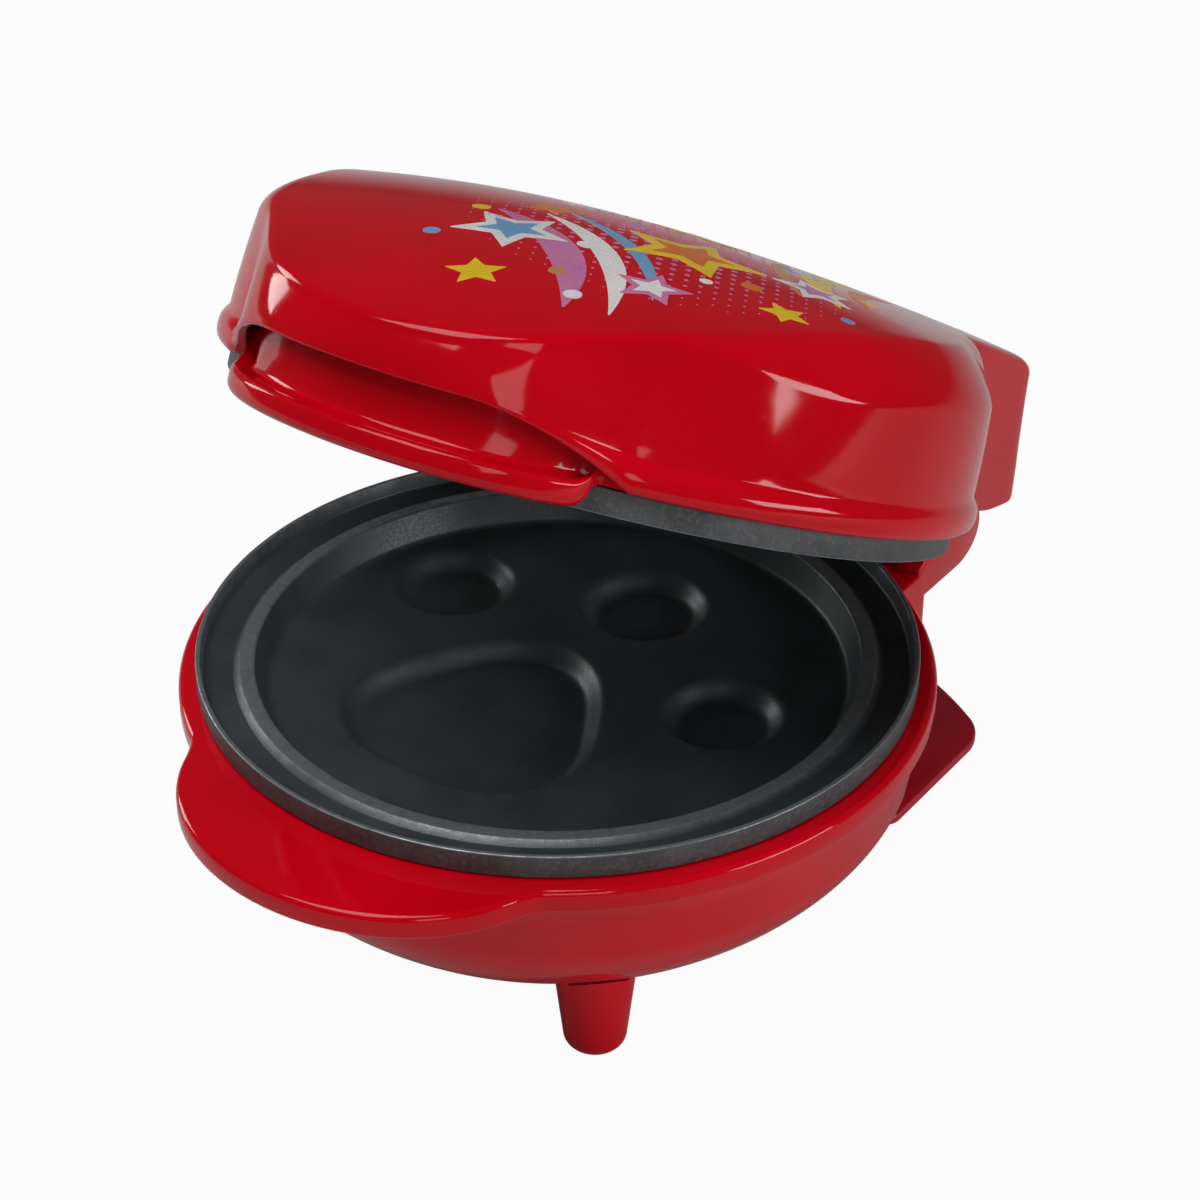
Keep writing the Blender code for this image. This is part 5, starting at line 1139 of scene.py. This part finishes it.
def makeCover():
    outer = [lipRing(*step) for step in lipLine]
    outer += [coverRing(s / 8, 0) for s in range(9)]
    outer += [shoulderRing(s / 12, 0) for s in range(1, 12)]
    outer += [crownRing(1 - s / 30, 0) for s in range(30)]
    outer.append([Vector((0, 0, coverTop(0, 0)))])
    wall = lidCoverPlan["wall"]
    inner = [coverRing(s, wall) for s in (0, 0.5, 1)] + [shoulderRing(s, wall) for s in (0.35, 0.7)]
    inner += [crownRing(s, wall) for s in (1, 0.85, 0.7, 0.5, 0.3)] + [[Vector((0, 0, coverTop(0, 0) - wall))]]
    piece = asObject("lidCover", skin(outer[::-1] + inner))
    for spot in handleScrews:
        top = coverTop(spot[0], spot[1] - 2.4) - wall
        foot = trayLevel + gap
        shape(piece, "UNION", lathe([(2.4, foot), (2.4, top)], 32, spot))
        shape(piece, "DIFFERENCE", lathe([(screw["bore"], foot - 2), (screw["bore"], foot + 4.8)], 32, spot))
    return finishPiece(piece, lidSpace, "lid", [glossRed], ["lid_cover"])


makeHousing()
makeCover()

# The lid's printed pattern: stars, dots and sweeping ribbons, in millimetres seen from above

inks = {"white": (0.82, 0.80, 0.78), "tan": (0.56, 0.28, 0.08), "yellow": (0.88, 0.58, 0.015),
        "pink": (0.62, 0.20, 0.40), "blue": (0.18, 0.38, 0.62), "orange": (0.74, 0.18, 0.015)}
printPlan = {
    "film": 0.04, "layerStep": 0.02,
    # ink, middle of the arc, its radius, half width, heading and half length in degrees
    "ribbons": [("pink", (-30, -92), 62, 3.4, 50, 25), ("white", (-30, -92), 70, 2.3, 48, 23),
                ("blue", (-30, -92), 76.5, 1.5, 52, 20), ("yellow", (92, 40), 66, 3.2, 205, 27),
                ("orange", (92, 40), 57.5, 2.0, 201, 24), ("tan", (92, 40), 73.5, 1.5, 210, 21)],
    # ink, inner ink, middle, radius, turn in degrees
    "stars": [("yellow", "orange", (22, -20), 15.0, 12), ("white", "blue", (-3, -42), 11.5, -8),
              ("tan", "yellow", (8, 8), 10.5, 30), ("white", "pink", (43, -8), 8.5, 50),
              ("pink", "white", (31, -46), 7.5, 20), ("yellow", None, (6, -64), 5.6, 40),
              ("orange", None, (-9, -20), 6.0, 5), ("blue", "white", (30, 12), 6.2, 15),
              ("white", None, (-14, -3), 4.2, 33), ("yellow", None, (50, -31), 5.0, 60)],
    "dots": [("white", (11, -38), 2.0), ("yellow", (-16, -34), 1.8), ("pink", (5, -12), 2.2),
             ("blue", (-12, -54), 1.6), ("white", (24, -60), 1.7), ("orange", (39, -25), 2.1),
             ("white", (20, 22), 1.9), ("yellow", (46, 9), 2.0), ("tan", (16, -54), 1.6),
             ("white", (34, -33), 1.3), ("pink", (-2, 22), 1.7), ("blue", (56, -18), 1.4)],
    "halftone": {"ink": "pink", "at": (16, -20), "size": (46, 42), "pitch": 3.2, "radius": 0.95},
}


def starOutline(middle, radius, turn, waist=0.47):
    line = []
    for i in range(10):
        t = math.radians(turn + 90 + 36 * i)
        reach = radius * (1 if i % 2 == 0 else waist)
        line.append((middle[0] + reach * math.cos(t), middle[1] + reach * math.sin(t)))
    soft = []
    for before, point, after in zip([line[-1]] + line[:-1], line, line[1:] + [line[0]]):
        cut = 0.09
        for share, other in ((cut, before), (cut * 0.3, before), (cut * 0.3, after), (cut, after)):
            soft.append((between(point[0], other[0], share), between(point[1], other[1], share)))
    return soft


def ribbonOutline(middle, radius, width, heading, length):
    outer, inner = [], []
    for i in range(1, 60):
        share = i / 30 - 1
        t = math.radians(heading + length * share)
        half = width * (1 - share * share)
        outer.append((middle[0] + (radius + half) * math.cos(t), middle[1] + (radius + half) * math.sin(t)))
        inner.append((middle[0] + (radius - half) * math.cos(t), middle[1] + (radius - half) * math.sin(t)))
    return outer + inner[::-1]


def roundOutline(middle, radius, count=28):
    return [(middle[0] + radius * math.cos(math.tau * i / count), middle[1] + radius * math.sin(math.tau * i / count))
            for i in range(count)]


def layInk(bm, outline, lift, index):
    # a closed film that follows the crown: its top stands proud, its bottom is just under the plastic
    xs, ys = [p[0] for p in outline], [p[1] for p in outline]
    spots = [Vector(p) for p in outline]
    count, step = len(spots), 1.6
    for i in range(int((max(xs) - min(xs)) / step) + 1):
        for j in range(int((max(ys) - min(ys)) / step) + 1):
            spots.append(Vector((min(xs) + step * (i + 0.5 * (j % 2) + 0.3), min(ys) + step * (j + 0.3))))
    found, _, faces, *_ = delaunay_2d_cdt(spots, [], [list(range(count))], 1, 0.0005)
    edges = set()
    top = [bm.verts.new((p.x, p.y, coverTop(p.x, p.y) + lift)) for p in found]
    low = [bm.verts.new((p.x, p.y, coverTop(p.x, p.y) - 0.25)) for p in found]
    for face in faces:
        bm.faces.new([top[v] for v in face]).material_index = index
        bm.faces.new([low[v] for v in reversed(face)]).material_index = index
        edges.update(zip(face, face[1:] + face[:1]))
    for a, b in edges:
        if (b, a) not in edges:
            bm.faces.new((top[b], top[a], low[a], low[b])).material_index = index
    for vertex in top + low:
        if not vertex.link_faces:
            bm.verts.remove(vertex)


def makePrint():
    plan = printPlan
    order = list(inks)
    bm = bmesh.new()
    tone = plan["halftone"]
    for i in range(-16, 17):
        for j in range(-16, 17):
            x = tone["at"][0] + tone["pitch"] * (i + 0.5 * (j % 2))
            y = tone["at"][1] + tone["pitch"] * j * 0.866
            away = math.hypot((x - tone["at"][0]) / tone["size"][0], (y - tone["at"][1]) / tone["size"][1])
            radius = tone["radius"] * (1 - away)
            if radius > 0.16:
                layInk(bm, roundOutline((x, y), radius, 12), plan["film"], order.index(tone["ink"]))
    lift = plan["film"] + plan["layerStep"]
    for ink, middle, radius, width, heading, length in plan["ribbons"]:
        layInk(bm, ribbonOutline(middle, radius, width, heading, length), lift, order.index(ink))
    for ink, inner, middle, radius, turn in plan["stars"]:
        layInk(bm, starOutline(middle, radius, turn), lift + plan["layerStep"], order.index(ink))
        if inner:
            layInk(bm, starOutline(middle, radius * 0.6, turn), lift + 2 * plan["layerStep"], order.index(inner))
    for ink, middle, radius in plan["dots"]:
        layInk(bm, roundOutline(middle, radius), lift + plan["layerStep"], order.index(ink))
    mesh = bpy.data.meshes.new("lidPrint")
    bm.to_mesh(mesh)
    bm.free()
    piece = bpy.data.objects.new("lidPrint", mesh)
    bpy.context.collection.objects.link(piece)
    return finishPiece(piece, lidSpace, "lid", [inkFinish(name + "Ink", inks[name]) for name in order],
                       [], 50)


makePrint()

# The solids that keep their own shape

carried = [
    (heaterSheath, ["lower_element", "upper_element"]),
    (rolledSheet, ["lower_reflector", "upper_reflector"]),
    (whiteCeramic, ["thermostat", "terminal_block"]),
    (sleeve, ["thermal_fuse", "element_lead_left", "element_lead_right"]),
    (blackRubber, ["supply_lead_left", "supply_lead_right", "base_hinge_lead", "lid_hinge_lead"]),
    (brightSteel, ["hinge_pin_left", "hinge_pin_right", "base_screw_1", "base_screw_2", "base_screw_3",
                   "upper_plate_screw_1", "upper_plate_screw_2", "upper_plate_screw_3",
                   "cover_screw_1", "cover_screw_2"]),
]
for paint, names in carried:
    for name in names:
        for holder in nodes[name].material_slots:
            holder.material = paint
print("carried over:", sum(len(names) for _, names in carried), "solids")
